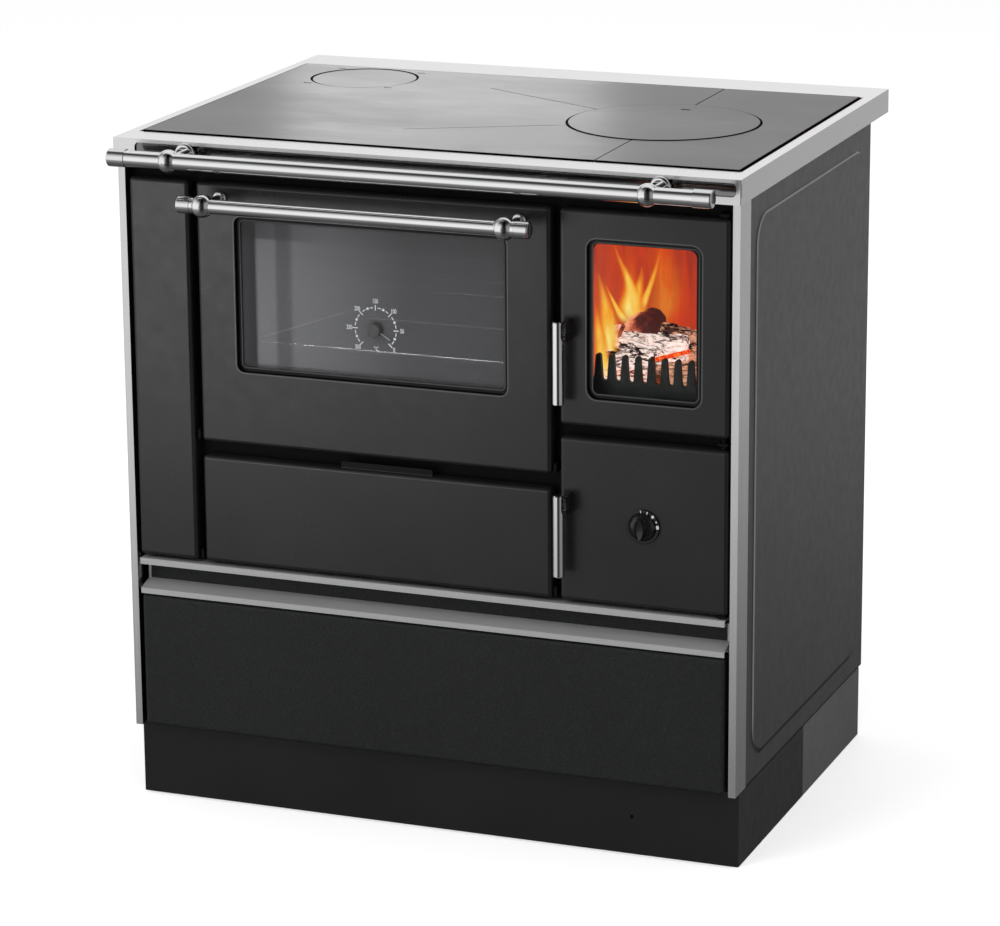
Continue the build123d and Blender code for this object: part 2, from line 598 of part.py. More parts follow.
def end_cap(tip_x, direction, y, z, size, bore):
    """A cup over the end of a rod; direction points outwards."""
    radius, length, end = size
    cap = rod((tip_x, y, z), (-direction, 0, 0), length, radius)
    tip = cap.faces().sort_by(Axis.X)[-1 if direction > 0 else 0]
    cap = fillet(tip.edges(), end / 2)
    return cap - rod((tip_x - direction * end, y, z), (-direction, 0, 0), length, bore)


def guard_rail():
    half = RAIL_LENGTH / 2 - RAIL_CAP[2]
    return ring((-half, -RAIL_STANDOFF, RAIL_Z), (1, 0, 0), 2 * half, RAIL_RADIUS, RAIL_RADIUS - RAIL_WALL)


def rail_posts():
    """Posts whose bosses lie on the frame's front and bridge its groove, with the neck down to the groove's floor."""
    size = (RAIL_BALL_RADIUS, RAIL_DOME, RAIL_NECK_RADIUS, RAIL_RADIUS)
    posts = []
    for side in (-1, 1):
        x = side * RAIL_POST_SPACING / 2
        root = rod((x, FRAME_RECESS[1], RAIL_Z), (0, -1, 0), FRAME_RECESS[1] + RAIL_DOME[1] / 2, RAIL_NECK_RADIUS)
        posts.append(ball_post(x, 0, -RAIL_STANDOFF, RAIL_Z, size) + root)
    return posts


def rail_end_caps():
    return [end_cap(side * RAIL_LENGTH / 2, side, -RAIL_STANDOFF, RAIL_Z, RAIL_CAP, RAIL_RADIUS) for side in (-1, 1)]


def oven_handle_rod():
    half = HANDLE_LENGTH / 2 - HANDLE_CAP[2]
    return rod((HANDLE_X - half, HANDLE_Y, HANDLE_Z), (1, 0, 0), 2 * half, HANDLE_RADIUS)


def oven_handle_posts():
    size = (HANDLE_BALL_RADIUS, HANDLE_DOME, HANDLE_NECK_RADIUS, HANDLE_RADIUS)
    collar_radius, reach = HANDLE_COLLAR
    posts = []
    for side in (-1, 1):
        x = HANDLE_X + side * HANDLE_POST_SPACING / 2
        collar = rod((x, HANDLE_Y, HANDLE_Z), (side, 0, 0), reach, collar_radius)
        posts.append(ball_post(x, DOOR_FRONT, HANDLE_Y, HANDLE_Z, size, collar))
    return posts


def oven_handle_caps():
    return [end_cap(HANDLE_X + side * HANDLE_LENGTH / 2, side, HANDLE_Y, HANDLE_Z, HANDLE_CAP, HANDLE_RADIUS)
            for side in (-1, 1)]


# ---------------------------------------------------------------- doors
def door_shell(x, z, back=None):
    """Pressed panel with rounded front edges, open at the back."""
    back = DOOR_BACK if back is None else back
    shell = slab(x, (DOOR_FRONT, back), z, DOOR_CORNER_RADIUS)
    shell = fillet(shell.edges().group_by(Axis.Y)[0], DOOR_EDGE_RADIUS * 0.98)
    hollow_radius = DOOR_CORNER_RADIUS - DOOR_SHEET
    hollow = slab(grown(x, -DOOR_SHEET), (DOOR_FRONT + DOOR_SHEET, back + 1), grown(z, -DOOR_SHEET), hollow_radius)
    return shell - hollow


def window_cut(window, radius):
    """The opening in a door's panel, with a short flare at the face."""
    x, z = window
    return slab(x, (DOOR_FRONT - 1, DOOR_FRONT + DOOR_SHEET + 1), z, radius)


def pin_bores_x(z):
    """Running holes for the two pins of a door that turns about X."""
    reach = PIN_OVERLAP + SLIDING_GAP
    left = rod((OVEN_X[0] - 1, HINGE_Y, z), (1, 0, 0), reach + 1, PIN_RADIUS + RUNNING_FIT)
    right = rod((OVEN_X[1] + 1, HINGE_Y, z), (-1, 0, 0), reach + 1, PIN_RADIUS + RUNNING_FIT)
    return left + right


def pin_bores_z(z):
    """Running holes for the two upright pins of a door."""
    reach = PIN_OVERLAP + SLIDING_GAP
    low = rod((SIDE_HINGE_X, HINGE_Y, z[0] - 1), (0, 0, 1), reach + 1, PIN_RADIUS + RUNNING_FIT)
    high = rod((SIDE_HINGE_X, HINGE_Y, z[1] + 1), (0, 0, -1), reach + 1, PIN_RADIUS + RUNNING_FIT)
    return low + high


def inner_frame(x, z, window, radius):
    """Frame behind the panel: a plate against the panel's back edge and a bezel forward to the glass."""
    edge = DOOR_SHEET + SLIDING_GAP
    plate = slab(grown(x, -edge), (DOOR_BACK - SHEET, DOOR_BACK), grown(z, -edge), DOOR_CORNER_RADIUS - DOOR_SHEET)
    wx, wz = window
    rim = GLASS_OVERLAP + GLASS_PLAY
    bezel_front = DOOR_FRONT + BEZEL_SETBACK
    cup = slab(grown(wx, rim - BEZEL_WIDTH + SHEET), (bezel_front, DOOR_BACK - SHEET),
               grown(wz, rim - BEZEL_WIDTH + SHEET), radius)
    pocket = slab(grown(wx, rim - BEZEL_WIDTH), (GLASS_FRONT, DOOR_BACK + 1), grown(wz, rim - BEZEL_WIDTH), radius)
    sight = slab(grown(wx, -BEZEL_WIDTH), (bezel_front - 1, DOOR_BACK + 1), grown(wz, -BEZEL_WIDTH), radius / 2)
    return plate + cup - pocket - sight


def pane(window, radius):
    """Glass that lies in the inner frame's pocket."""
    x, z = window
    rim = GLASS_OVERLAP - BEZEL_WIDTH
    return slab(grown(x, rim), (GLASS_FRONT, GLASS_FRONT + GLASS), grown(z, rim), radius)


def seal_loop(x, z):
    """Rope seal on the back of a door, just short of the front plate."""
    y = (DOOR_BACK, PLATE_FRONT - SLIDING_GAP)
    outer = slab(grown(x, -SEAL_INSET), y, grown(z, -SEAL_INSET), DOOR_CORNER_RADIUS + SEAL_WIDTH)
    inner = slab(grown(x, -SEAL_INSET - SEAL_WIDTH), y, grown(z, -SEAL_INSET - SEAL_WIDTH), DOOR_CORNER_RADIUS)
    return outer - inner


def oven_door_panel():
    return door_shell(OVEN_X, OVEN_Z) - window_cut(OVEN_WINDOW, OVEN_WINDOW_RADIUS) - pin_bores_x(OVEN_HINGE_Z)


def oven_glass():
    """Outer pane of the oven door, bored for the neck of the thermometer."""
    bore = rod((DIAL_X, GLASS_FRONT - 1, DIAL_Z), (0, 1, 0), GLASS + 2, DIAL_HUB[0] / 2)
    return pane(OVEN_WINDOW, OVEN_WINDOW_RADIUS) - bore


def glass_retainer(window, radius):
    """Ring in the inner frame's pocket that keeps the glass against the bezel."""
    x, z = window
    rim = GLASS_OVERLAP - BEZEL_WIDTH
    y = (GLASS_FRONT + GLASS, DOOR_BACK)
    return slab(grown(x, rim), y, grown(z, rim), radius) - slab(
        grown(x, -BEZEL_WIDTH / 2), grown(y, 1), grown(z, -BEZEL_WIDTH / 2), radius)


def oven_inner_screen():
    """Dark screen on the back of the oven door: it keeps both panes in place."""
    x, z = grown(OVEN_WINDOW[0], GLASS_OVERLAP), grown(OVEN_WINDOW[1], GLASS_OVERLAP)
    opening = inset(OVEN_WINDOW[0], OVEN_WINDOW[1], INNER_PANE_MARGINS)
    y = (DOOR_BACK, DOOR_BACK + SHEET)
    screen = slab(x, y, z, OVEN_WINDOW_RADIUS) - slab(opening[0], grown(y, 1), opening[1], OVEN_WINDOW_RADIUS)
    return screen + glass_retainer(OVEN_WINDOW, OVEN_WINDOW_RADIUS)


def oven_inner_glass():
    opening = inset(OVEN_WINDOW[0], OVEN_WINDOW[1], INNER_PANE_MARGINS)
    y = (DOOR_BACK - GLASS / 2, DOOR_BACK)
    return slab(grown(opening[0], GLASS), y, grown(opening[1], GLASS), OVEN_WINDOW_RADIUS)


def thermometer_hub():
    """Bimetal case: a front disc, a neck through the glass and a nut behind it."""
    radius, stand = DIAL_HUB
    front = GLASS_FRONT - stand
    disc_back = GLASS_FRONT - POINTER[2] - 2 * SLIDING_GAP
    disc = rod((DIAL_X, front, DIAL_Z), (0, 1, 0), disc_back - front, radius)
    disc = fillet(disc.edges().group_by(Axis.Y)[0], 1.0)
    neck = rod((DIAL_X, disc_back, DIAL_Z), (0, 1, 0), GLASS_FRONT + GLASS - disc_back, radius / 2 - RUNNING_FIT)
    nut = rod((DIAL_X, GLASS_FRONT + GLASS, DIAL_Z), (0, 1, 0), DIAL_BACK, radius)
    return disc + neck + nut


def thermometer_pointer():
    length, width, thickness = POINTER
    back = GLASS_FRONT - SLIDING_GAP
    bore = DIAL_HUB[0] / 2
    disc = rod((DIAL_X, back, DIAL_Z), (0, -1, 0), thickness, bore + 2 * width)
    turned = Plane(origin=(DIAL_X, back, DIAL_Z), x_dir=(1, 0, 0), z_dir=(0, -1, 0))
    needle = turned * Rot(0, 0, POINTER_ANGLE) * Pos(length / 2, 0, 0) * Rectangle(length, width)
    return disc + extrude(needle, amount=thickness) - rod((DIAL_X, back + 1, DIAL_Z), (0, -1, 0), 4, bore)


def fire_door_panel():
    panel = door_shell(FIRE_X, FIRE_Z) - window_cut(FIRE_WINDOW, FIRE_WINDOW_RADIUS)
    return panel - pin_bores_z(FIRE_Z)


def ash_door_panel():
    bore = rod((KNOB_X, DOOR_FRONT - 1, KNOB_Z), (0, 1, 0), DOOR_SHEET + 2, KNOB[2] + RUNNING_FIT)
    return door_shell(FIRE_X, ASH_Z) - pin_bores_z(ASH_Z) - bore


def knob_ring(angle):
    """Centres of the air holes, turned by angle from the vertical."""
    pitch, _, number = AIR_HOLE
    for k in range(number):
        turn = math.radians(angle + 360 / number * k)
        yield KNOB_X + pitch * math.sin(turn), KNOB_Z + pitch * math.cos(turn)


def ash_door_inner():
    """Back sheet of the ash door with the fixed air holes and the bearing of the knob's shaft."""
    edge = DOOR_SHEET + SLIDING_GAP
    y = (DOOR_BACK - SHEET, DOOR_BACK)
    sheet = slab(grown(FIRE_X, -edge), y, grown(ASH_Z, -edge), DOOR_CORNER_RADIUS - DOOR_SHEET)
    for x, z in knob_ring(0):
        sheet -= rod((x, y[0] - 1, z), (0, 1, 0), SHEET + 2, AIR_HOLE[1])
    return sheet - rod((KNOB_X, y[0] - 1, KNOB_Z), (0, 1, 0), SHEET + 2, KNOB[2] + RUNNING_FIT)


def air_disc():
    """Shutter on the knob's shaft: at rest its holes stand between those of the back sheet."""
    radius, thickness = AIR_DISC
    front = DOOR_BACK - SHEET - SLIDING_GAP - thickness
    disc = rod((KNOB_X, front, KNOB_Z), (0, 1, 0), thickness, radius)
    for x, z in knob_ring(180 / AIR_HOLE[2]):
        disc -= rod((x, front - 1, z), (0, 1, 0), thickness + 2, AIR_HOLE[1])
    return disc - rod((KNOB_X, front - 1, KNOB_Z), (0, 1, 0), thickness + 2, KNOB[2])


def air_knob_bezel():
    outer, inner, height = KNOB_BEZEL
    bezel = ring((KNOB_X, DOOR_FRONT, KNOB_Z), (0, -1, 0), height, outer, inner)
    return fillet(bezel.edges().group_by(Axis.Y)[0], 0.8)


def air_knob():
    """Turned disc with a grip bar across it and a shaft to the back sheet."""
    radius, thickness, shaft = KNOB
    width, length, height = KNOB_GRIP
    back = DOOR_FRONT - SLIDING_GAP
    disc = rod((KNOB_X, back, KNOB_Z), (0, -1, 0), thickness, radius)
    disc = fillet(disc.edges().group_by(Axis.Y)[0], 1.5)
    front = back - thickness
    grip = slab((KNOB_X - width / 2, KNOB_X + width / 2), (front - height, front),
                (KNOB_Z - length / 2, KNOB_Z + length / 2), width * 0.45)
    grip = fillet(grip.edges().group_by(Axis.Y)[0], 2.0)
    return disc + grip + rod((KNOB_X, back, KNOB_Z), (0, 1, 0), DOOR_BACK - back, shaft)


def latch_levels(lower_end):
    return (lower_end, lower_end + LATCH_ROD_LENGTH), lower_end + LATCH_ROD_LENGTH - LATCH_PIVOT_DROP


def latch_rod(lower_end):
    """Upright pull rod with a cross pin at its upper end."""
    z, pivot = latch_levels(lower_end)
    bar = rod((LATCH_X, LATCH_Y, z[0]), (0, 0, 1), LATCH_ROD_LENGTH, LATCH_ROD_RADIUS)
    bar = chamfer(bar.edges().filter_by(GeomType.CIRCLE), 1.0)
    reach = LATCH_ROD_RADIUS + SLIDING_GAP + LATCH_BRACKET[0]
    return bar + rod((LATCH_X, LATCH_Y, pivot), (1, 0, 0), reach, LATCH_PIN_RADIUS)


def latch_bracket(lower_end):
    """Lug on the door's face, right of the rod, that carries the cross pin."""
    _, pivot = latch_levels(lower_end)
    width, height, depth = LATCH_BRACKET
    left = LATCH_X + LATCH_ROD_RADIUS + SLIDING_GAP
    block_z = (pivot - height / 2, pivot + height / 2)
    body = block((left, left + width), (DOOR_FRONT - depth, DOOR_FRONT), block_z)
    nose, edge_round = LATCH_NOSE
    body = fillet(body.edges().group_by(Axis.Y)[0].filter_by(Axis.X), nose)
    flank = body.faces().sort_by(Axis.X)[-1]
    body = fillet([edge for edge in flank.edges() if edge.center().Y < DOOR_FRONT - 1], edge_round)
    return body - rod((left - 1, LATCH_Y, pivot), (1, 0, 0), width + 2, LATCH_PIN_RADIUS + RUNNING_FIT)


LATCH_FIRE_Z = FIRE_Z[0] + LATCH_FIRE_ABOVE
LATCH_ASH_Z = ASH_Z[0] + LATCH_ASH_ABOVE


def lower_flap_panel():
    """Panel of the warming compartment's flap, folded in all round at the back, with its finger lip."""
    fold = slab(grown(OVEN_X, -DOOR_SHEET), (DOOR_BACK - SHEET, DOOR_BACK), grown(FLAP_Z, -DOOR_SHEET),
                DOOR_CORNER_RADIUS - DOOR_SHEET)
    fold -= slab(grown(OVEN_X, -RETURN_FLANGE), (DOOR_BACK - 2 * SHEET, DOOR_BACK + 1),
                 grown(FLAP_Z, -RETURN_FLANGE), DOOR_CORNER_RADIUS)
    return door_shell(OVEN_X, FLAP_Z) + fold + finger_lip() - pin_bores_x(FLAP_HINGE_Z)


def finger_lip():
    """Angle that stands on the flap's upper edge."""
    left, right, height, sheet = FLAP_TAB
    front = DOOR_FRONT + DOOR_EDGE_RADIUS
    lip = block((left, right), (front, front + sheet), (FLAP_Z[1], FLAP_Z[1] + height))
    foot = block((left, right), (front, DOOR_BACK), (FLAP_Z[1], FLAP_Z[1] + sheet))
    return fillet((lip + foot).edges().filter_by(Axis.Y).group_by(Axis.Z)[-1], height / 4)


def left_filler_panel():
    return door_shell(FILLER_X, (DOORS_BOTTOM, DOOR_TOP), PLATE_FRONT)


# ---------------------------------------------------------------- wood drawer
DRAWER_X = (-POST_INNER + DRAWER_SIDE_GAP, POST_INNER - DRAWER_SIDE_GAP)


def drawer_front():
    """Front panel with a dark backing sheet that rises behind the grip."""
    panel = door_shell(DRAWER_X, (DRAWER_BOTTOM, DRAWER_PANEL_TOP), DRAWER_BACK_SHEET)
    backing = block(DRAWER_X, (DRAWER_BACK_SHEET, DRAWER_BACK_SHEET + DRAWER_SHEET), (DRAWER_BOTTOM, GRIP_TOP))
    return panel + backing


def drawer_grip():
    """Extruded grip: strip above, sloping lip below, a web behind that is cut away between its ends."""
    front = GRIP_SETBACK
    back = DRAWER_BACK_SHEET
    lip_top = GRIP_BOTTOM + GRIP_LIP
    outline = Polyline(
        (front, GRIP_BOTTOM), (back, GRIP_BOTTOM), (back, GRIP_TOP), (front, GRIP_TOP),
        (front, GRIP_TOP - GRIP_STRIP), (back - GRIP_WALL, GRIP_TOP - GRIP_STRIP),
        (back - GRIP_WALL, lip_top + GRIP_SLOPE), (front, lip_top), close=True)
    section = Plane(origin=(DRAWER_X[0], 0, 0), x_dir=(0, 1, 0), z_dir=(1, 0, 0)) * make_face(outline)
    profile = extrude(section, amount=DRAWER_X[1] - DRAWER_X[0])
    under = block(grown(DRAWER_X, 1), (front + GRIP_WALL, back - GRIP_WALL),
                  (GRIP_BOTTOM - 1, lip_top - GRIP_WALL))
    above = block(grown(DRAWER_X, 1), (front + GRIP_WALL, back - GRIP_WALL),
                  (GRIP_TOP - GRIP_STRIP + GRIP_WALL, GRIP_TOP - GRIP_WALL))
    window = block(grown(DRAWER_X, -2 * GRIP_WALL), (back - 2 * GRIP_WALL, back + 1),
                   (lip_top + GRIP_SLOPE, GRIP_TOP - GRIP_STRIP))
    profile = profile - under - above - window
    return profile


def drawer_box():
    """Open tray behind the front, with a flange on each side that runs on the fixed runner."""
    half = DRAWER_BOX_HALF
    y = (DRAWER_BACK_SHEET + DRAWER_SHEET, DRAWER_BACK_SHEET + DRAWER_SHEET + DRAWER_BOX_DEPTH)
    z = (DRAWER_BOTTOM + DRAWER_FLOOR_GAP, DRAWER_BOTTOM + DRAWER_FLOOR_GAP + DRAWER_BOX_HEIGHT)
    tray = block((-half, half), y, z)
    tray -= block((-half + DRAWER_SHEET, half - DRAWER_SHEET), grown(y, -DRAWER_SHEET), (z[0] + DRAWER_SHEET, z[1] + 1))
    level = BODY_BOTTOM + RUNNER_HEIGHT + SLIDING_GAP
    for side in (-1, 1):
        x = sorted((side * half, side * (half + RUNNER_FLANGE)))
        tray += block(x, y, (level, level + DRAWER_SHEET))
    return tray


def drawer_runners():
    """Folded rails on the base plate, one on each side of the drawer."""
    half = DRAWER_BOX_HALF + SLIDING_GAP
    top = BODY_BOTTOM + RUNNER_HEIGHT
    y = (DRAWER_BACK_SHEET + 2 * DRAWER_SHEET, DRAWER_BACK_SHEET + DRAWER_BOX_DEPTH)
    rails = []
    for side in (-1, 1):
        ledge = block(sorted((side * half, side * (half + RUNNER_FOOT))), y, (top - SHEET, top))
        wall_x = sorted((side * (half + RUNNER_FOOT - SHEET), side * (half + RUNNER_FOOT)))
        wall = block(wall_x, y, (BODY_BOTTOM, top))
        foot = block(sorted((side * half, side * (half + RUNNER_FOOT))), y, (BODY_BOTTOM, BODY_BOTTOM + SHEET))
        rails.append(ledge + wall + foot)
    return rails


# ---------------------------------------------------------------- firebox and what is in it
def firebox_shell():
    """Steel shell of the fire and ash chambers, open in front and above, with the grate shelf."""
    y = (PLATE_BACK, FIREBOX_BACK)
    top = BODY_TOP - FIREBOX_TOP_GAP
    inner_x = grown(FIREBOX_X, -SHEET)
    shell = block(FIREBOX_X, y, (FIREBOX_FLOOR, top))
    shell -= block(inner_x, (y[0] - 1, y[1] - SHEET), (FIREBOX_FLOOR + SHEET, top + 1))
    shelf = block(inner_x, (y[0], y[1] - SHEET), (SHELF_TOP - SHELF_SHEET, SHELF_TOP))
    shelf -= block(grate_span()[0], grate_span()[1], (SHELF_TOP - 2 * SHELF_SHEET, SHELF_TOP + 1))
    smoke_y = (y[0] + BRICK, y[1] - BRICK)
    smoke = block((FIREBOX_X[0] - 1, inner_x[0] + 1), smoke_y, (top - BRICK_TOP_GAP + SHEET, top - 2 * SHEET))
    return shell + shelf - smoke


def grate_span(seat=GRATE_SEAT):
    """The grate's outline, made smaller by its seat on the shelf."""
    centre_y = PLATE_BACK + FIREBOX_DEPTH / 2
    x = (middle(CHAMBER_X) - GRATE[0] / 2 + seat, middle(CHAMBER_X) + GRATE[0] / 2 - seat)
    return x, (centre_y - GRATE[1] / 2 + seat, centre_y + GRATE[1] / 2 - seat)


def grate():
    x, y = grate_span(seat=0)
    bars = block(x, y, (SHELF_TOP, SHELF_TOP + GRATE[2]))
    width, pitch = GRATE_SLOT
    number = int((GRATE[0] - 2 * GRATE_RIM) / pitch)
    for k in range(number):
        centre = middle(x) + (k - (number - 1) / 2) * pitch
        bars -= block((centre - width / 2, centre + width / 2), grown(y, -GRATE_RIM),
                      (SHELF_TOP - 1, SHELF_TOP + GRATE[2] + 1))
    return bars


def firebricks():
    """Fireclay slabs: three on each side and two at the back."""
    top = BODY_TOP - FIREBOX_TOP_GAP - BRICK_TOP_GAP
    z = (SHELF_TOP, top)
    start = PLATE_BACK + GUARD_GAP + GUARD[0] + SLIDING_GAP
    back = PLATE_BACK + FIREBOX_DEPTH
    bricks = []
    length = (back - start) / 3
    walls = grown(FIREBOX_X, -SHEET - SLIDING_GAP)
    for x in ((walls[0], CHAMBER_X[0]), (CHAMBER_X[1], walls[1])):
        for k in range(3):
            bricks.append(block(x, (start + k * length, start + (k + 1) * length - SLIDING_GAP), z))
    centre = middle(CHAMBER_X)
    for x in ((walls[0], centre - SLIDING_GAP), (centre + SLIDING_GAP, walls[1])):
        bricks.append(block(x, (back, back + BRICK - SLIDING_GAP), z))
    return bricks


def fire_guard():
    """Cast log guard behind the fire door: a plate on the grate shelf with upright fingers."""
    thickness, plate_height, finger_height = GUARD
    root, tip, pitch, number = GUARD_FINGER
    y = (PLATE_BACK + GUARD_GAP, PLATE_BACK + GUARD_GAP + thickness)
    root_z = SHELF_TOP + plate_height
    tip_z = root_z + finger_height
    guard = block(grown(FIREBOX_X, -SHEET - SLIDING_GAP), y, (SHELF_TOP, root_z))
    face = Plane(origin=(0, y[1], 0), x_dir=(1, 0, 0), z_dir=(0, -1, 0))
    for k in range(number):
        x = middle(CHAMBER_X) + (k - (number - 1) / 2) * pitch
        outline = Polyline((x - root / 2, root_z - 1), (x + root / 2, root_z - 1),
                           (x + tip / 2, tip_z - tip / 2), (x - tip / 2, tip_z - tip / 2), close=True)
        finger = make_face(outline) + Pos(x, tip_z - tip / 2) * Circle(tip / 2)
        guard += extrude(face * finger, amount=thickness)
    for k in range(number - 1):
        x = middle(CHAMBER_X) + (k - (number - 2) / 2) * pitch
        guard -= rod((x, y[0] - 1, root_z), (0, 1, 0), thickness + 2, (pitch - root) / 2)
    return guard


def open_box(opening, depth, shelf=None):
    """Sheet-metal box behind an opening of the front plate."""
    x, z = opening
    y = (PLATE_BACK, PLATE_BACK + depth)
    box = block(grown(x, SHEET), (y[0], y[1] + SHEET), grown(z, SHEET)) - block(x, (y[0] - 1, y[1]), z)
    if shelf is not None:
        width, sheet = RACK_LEDGE
        for ledge_x in ((x[0], x[0] + width), (x[1] - width, x[1])):
            box += block(ledge_x, (y[0] + RACK_FRONT_GAP / 2, y[1]), (shelf - sheet, shelf))
    return box


RACK_Z = OVEN_OPENING[1][0] + RACK_ABOVE_FLOOR


def oven_rack():
    """Wire rack: cross bars that lie on the oven's ledges and wires welded under them."""
    x = grown(OVEN_OPENING[0], -1)
    y0 = PLATE_BACK + RACK_FRONT_GAP
    rack = None
    for share in RACK_CROSS_BARS:
        bar = rod((x[0], y0 + share * RACK_DEPTH, RACK_Z), (1, 0, 0), x[1] - x[0], RACK_BAR_RADIUS)
        rack = bar if rack is None else rack + bar
    wire_z = RACK_Z - RACK_BAR_RADIUS - RACK_WIRE_RADIUS / 2
    inner = grown(x, -RACK_LEDGE[0] - RACK_WIRE_RADIUS)
    number = int((inner[1] - inner[0]) / RACK_WIRE_PITCH)
    for k in range(number + 1):
        wire_x = middle(inner) + (k - number / 2) * RACK_WIRE_PITCH
        rack += rod((wire_x, y0 - RACK_BAR_RADIUS, wire_z), (0, 1, 0),
                    RACK_DEPTH + 2 * RACK_BAR_RADIUS, RACK_WIRE_RADIUS)
    return rack


def ash_pan():
    x = grown(ASH_OPENING[0], -ASH_PAN_SIDE_GAP)
    y0 = PLATE_BACK + ASH_PAN_FRONT_GAP
    floor = FIREBOX_FLOOR + SHEET
    y = (y0, y0 + ASH_PAN_DEPTH)
    pan = block(x, y, (floor, floor + ASH_PAN_HEIGHT))
    pan -= block(grown(x, -ASH_PAN_SHEET), grown(y, -ASH_PAN_SHEET), (floor + ASH_PAN_SHEET, floor + ASH_PAN_HEIGHT + 1))
    lip = block(x, (y0 - ASH_PAN_FRONT_GAP / 2, y0), (floor + ASH_PAN_HEIGHT - ASH_PAN_SHEET, floor + ASH_PAN_HEIGHT))
    return pan + lip


def startup_damper():
    """Flat slide under the hob frame with a turned-down pull edge."""
    x, z = damper_span()
    front = PLATE_FRONT - DAMPER_OUT
    slide = block(x, (front, front + DAMPER_LENGTH), z)
    return fillet(slide.edges().filter_by(Axis.Z).group_by(Axis.Y)[0], DAMPER_OUT / 3)


def flue_spigot():
    radius, sheet = SPIGOT_FLANGE
    start = (SPIGOT_X, BODY_BACK, SPIGOT_Z)
    tube = ring(start, (0, 1, 0), sheet + SPIGOT_LENGTH, SPIGOT_RADIUS, SPIGOT_RADIUS - SPIGOT_WALL)
    return tube + ring(start, (0, 1, 0), sheet, radius, SPIGOT_RADIUS - SPIGOT_WALL)


def main():
    os.makedirs("parts", exist_ok=True)
    save(plinth(front=True), "plinth_front")
    save(plinth(front=False), "plinth_rear")
    save_group(levelling_feet(), "levelling_feet")
    save(base_plate(), "base_plate")
    for side, word in ((-1, "left"), (1, "right")):
        save(corner_post(side), f"corner_post_{word}")
        save(side_panel(side), f"side_panel_{word}")
    save(back_panel(), "back_panel")
    save(front_plate(), "front_plate")
    save_group(hinge_pins(), "hinge_pins")
    save(left_filler_panel(), "left_filler_panel")

    save(hob_frame(), "hob_frame")
    save(hob_plate(), "hob_plate")
    save(ring_lid(), "ring_lid")
    save(stepped_disc(FLUE_COVER, COVER_PLAY, -COVER_SUNK), "flue_blanking_plate")
    save(guard_rail(), "guard_rail")
    save_group(rail_posts(), "rail_posts")
    save_group(rail_end_caps(), "rail_end_caps")

    save(oven_door_panel(), "oven_door_panel")
    save(inner_frame(OVEN_X, OVEN_Z, OVEN_WINDOW, OVEN_WINDOW_RADIUS), "oven_door_inner")
    save(oven_glass(), "oven_glass")
    save(seal_loop(OVEN_X, OVEN_Z), "oven_door_seal")
    save(oven_inner_screen(), "oven_inner_screen")
    save(oven_inner_glass(), "oven_inner_glass")
    save(oven_handle_rod(), "oven_handle_rod")
    save_group(oven_handle_posts(), "oven_handle_posts")
    save_group(oven_handle_caps(), "oven_handle_caps")
    save(thermometer_hub(), "thermometer_hub")
    save(thermometer_pointer(), "thermometer_pointer")

    save(fire_door_panel(), "fire_door_panel")
    save(inner_frame(FIRE_X, FIRE_Z, FIRE_WINDOW, FIRE_WINDOW_RADIUS), "fire_door_inner")
    save(pane(FIRE_WINDOW, FIRE_WINDOW_RADIUS), "fire_glass")
    save(seal_loop(FIRE_X, FIRE_Z), "fire_door_seal")
    save(glass_retainer(FIRE_WINDOW, FIRE_WINDOW_RADIUS), "fire_glass_retainer")
    save(latch_rod(LATCH_FIRE_Z), "fire_latch_rod")
    save(latch_bracket(LATCH_FIRE_Z), "fire_latch_bracket")

    save(ash_door_panel(), "ash_door_panel")
    save(ash_door_inner(), "ash_door_inner")
    save(seal_loop(FIRE_X, ASH_Z), "ash_door_seal")
    save(latch_rod(LATCH_ASH_Z), "ash_latch_rod")
    save(latch_bracket(LATCH_ASH_Z), "ash_latch_bracket")
    save(air_knob_bezel(), "air_knob_bezel")
    save(air_knob(), "air_knob")
    save(air_disc(), "air_disc")

    save(lower_flap_panel(), "lower_flap_panel")

    save(drawer_front(), "drawer_front")
    save(drawer_grip(), "drawer_grip")
    save(drawer_box(), "drawer_box")
    save_group(drawer_runners(), "drawer_runners")

    save(firebox_shell(), "firebox_shell")
    save_group(firebricks(), "firebricks")
    save(grate(), "grate")
    save(fire_guard(), "fire_guard")
    save(ash_pan(), "ash_pan")
    save(open_box(OVEN_OPENING, OVEN_DEPTH, RACK_Z - RACK_BAR_RADIUS), "oven_box")
    save(oven_rack(), "oven_rack")
    save(open_box(FLAP_OPENING, LOWER_DEPTH), "warming_box")
    save(startup_damper(), "startup_damper")
    save(flue_spigot(), "flue_spigot")


if __name__ == "__main__":
    main()
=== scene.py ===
"""Looks for the wood-fired range: a finish for every part of the frame, the prints, the fire and the studio."""
import bpy
import math
from mathutils import Matrix, Vector


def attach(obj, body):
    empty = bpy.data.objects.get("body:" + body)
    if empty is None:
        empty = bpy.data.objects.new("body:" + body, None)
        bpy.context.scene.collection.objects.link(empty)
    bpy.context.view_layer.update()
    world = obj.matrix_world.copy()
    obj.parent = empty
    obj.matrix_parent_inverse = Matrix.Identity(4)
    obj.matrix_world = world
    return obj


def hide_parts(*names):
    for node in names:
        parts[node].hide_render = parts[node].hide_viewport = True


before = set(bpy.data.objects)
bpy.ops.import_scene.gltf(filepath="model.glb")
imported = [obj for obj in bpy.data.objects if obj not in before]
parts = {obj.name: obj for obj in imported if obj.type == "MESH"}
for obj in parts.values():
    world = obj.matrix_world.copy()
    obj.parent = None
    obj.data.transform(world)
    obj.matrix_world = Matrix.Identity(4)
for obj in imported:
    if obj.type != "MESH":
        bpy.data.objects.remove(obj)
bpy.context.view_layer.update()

# Places on the range that finishes and added pieces line up with, in metres along the frame's axes.
# A window or field is (from, to, from, to) across and upwards. Beside it stands the radius of its corners.
OVEN_WINDOW, OVEN_CORNER = (-0.2440, 0.1095, 0.5675, 0.7615), 0.010
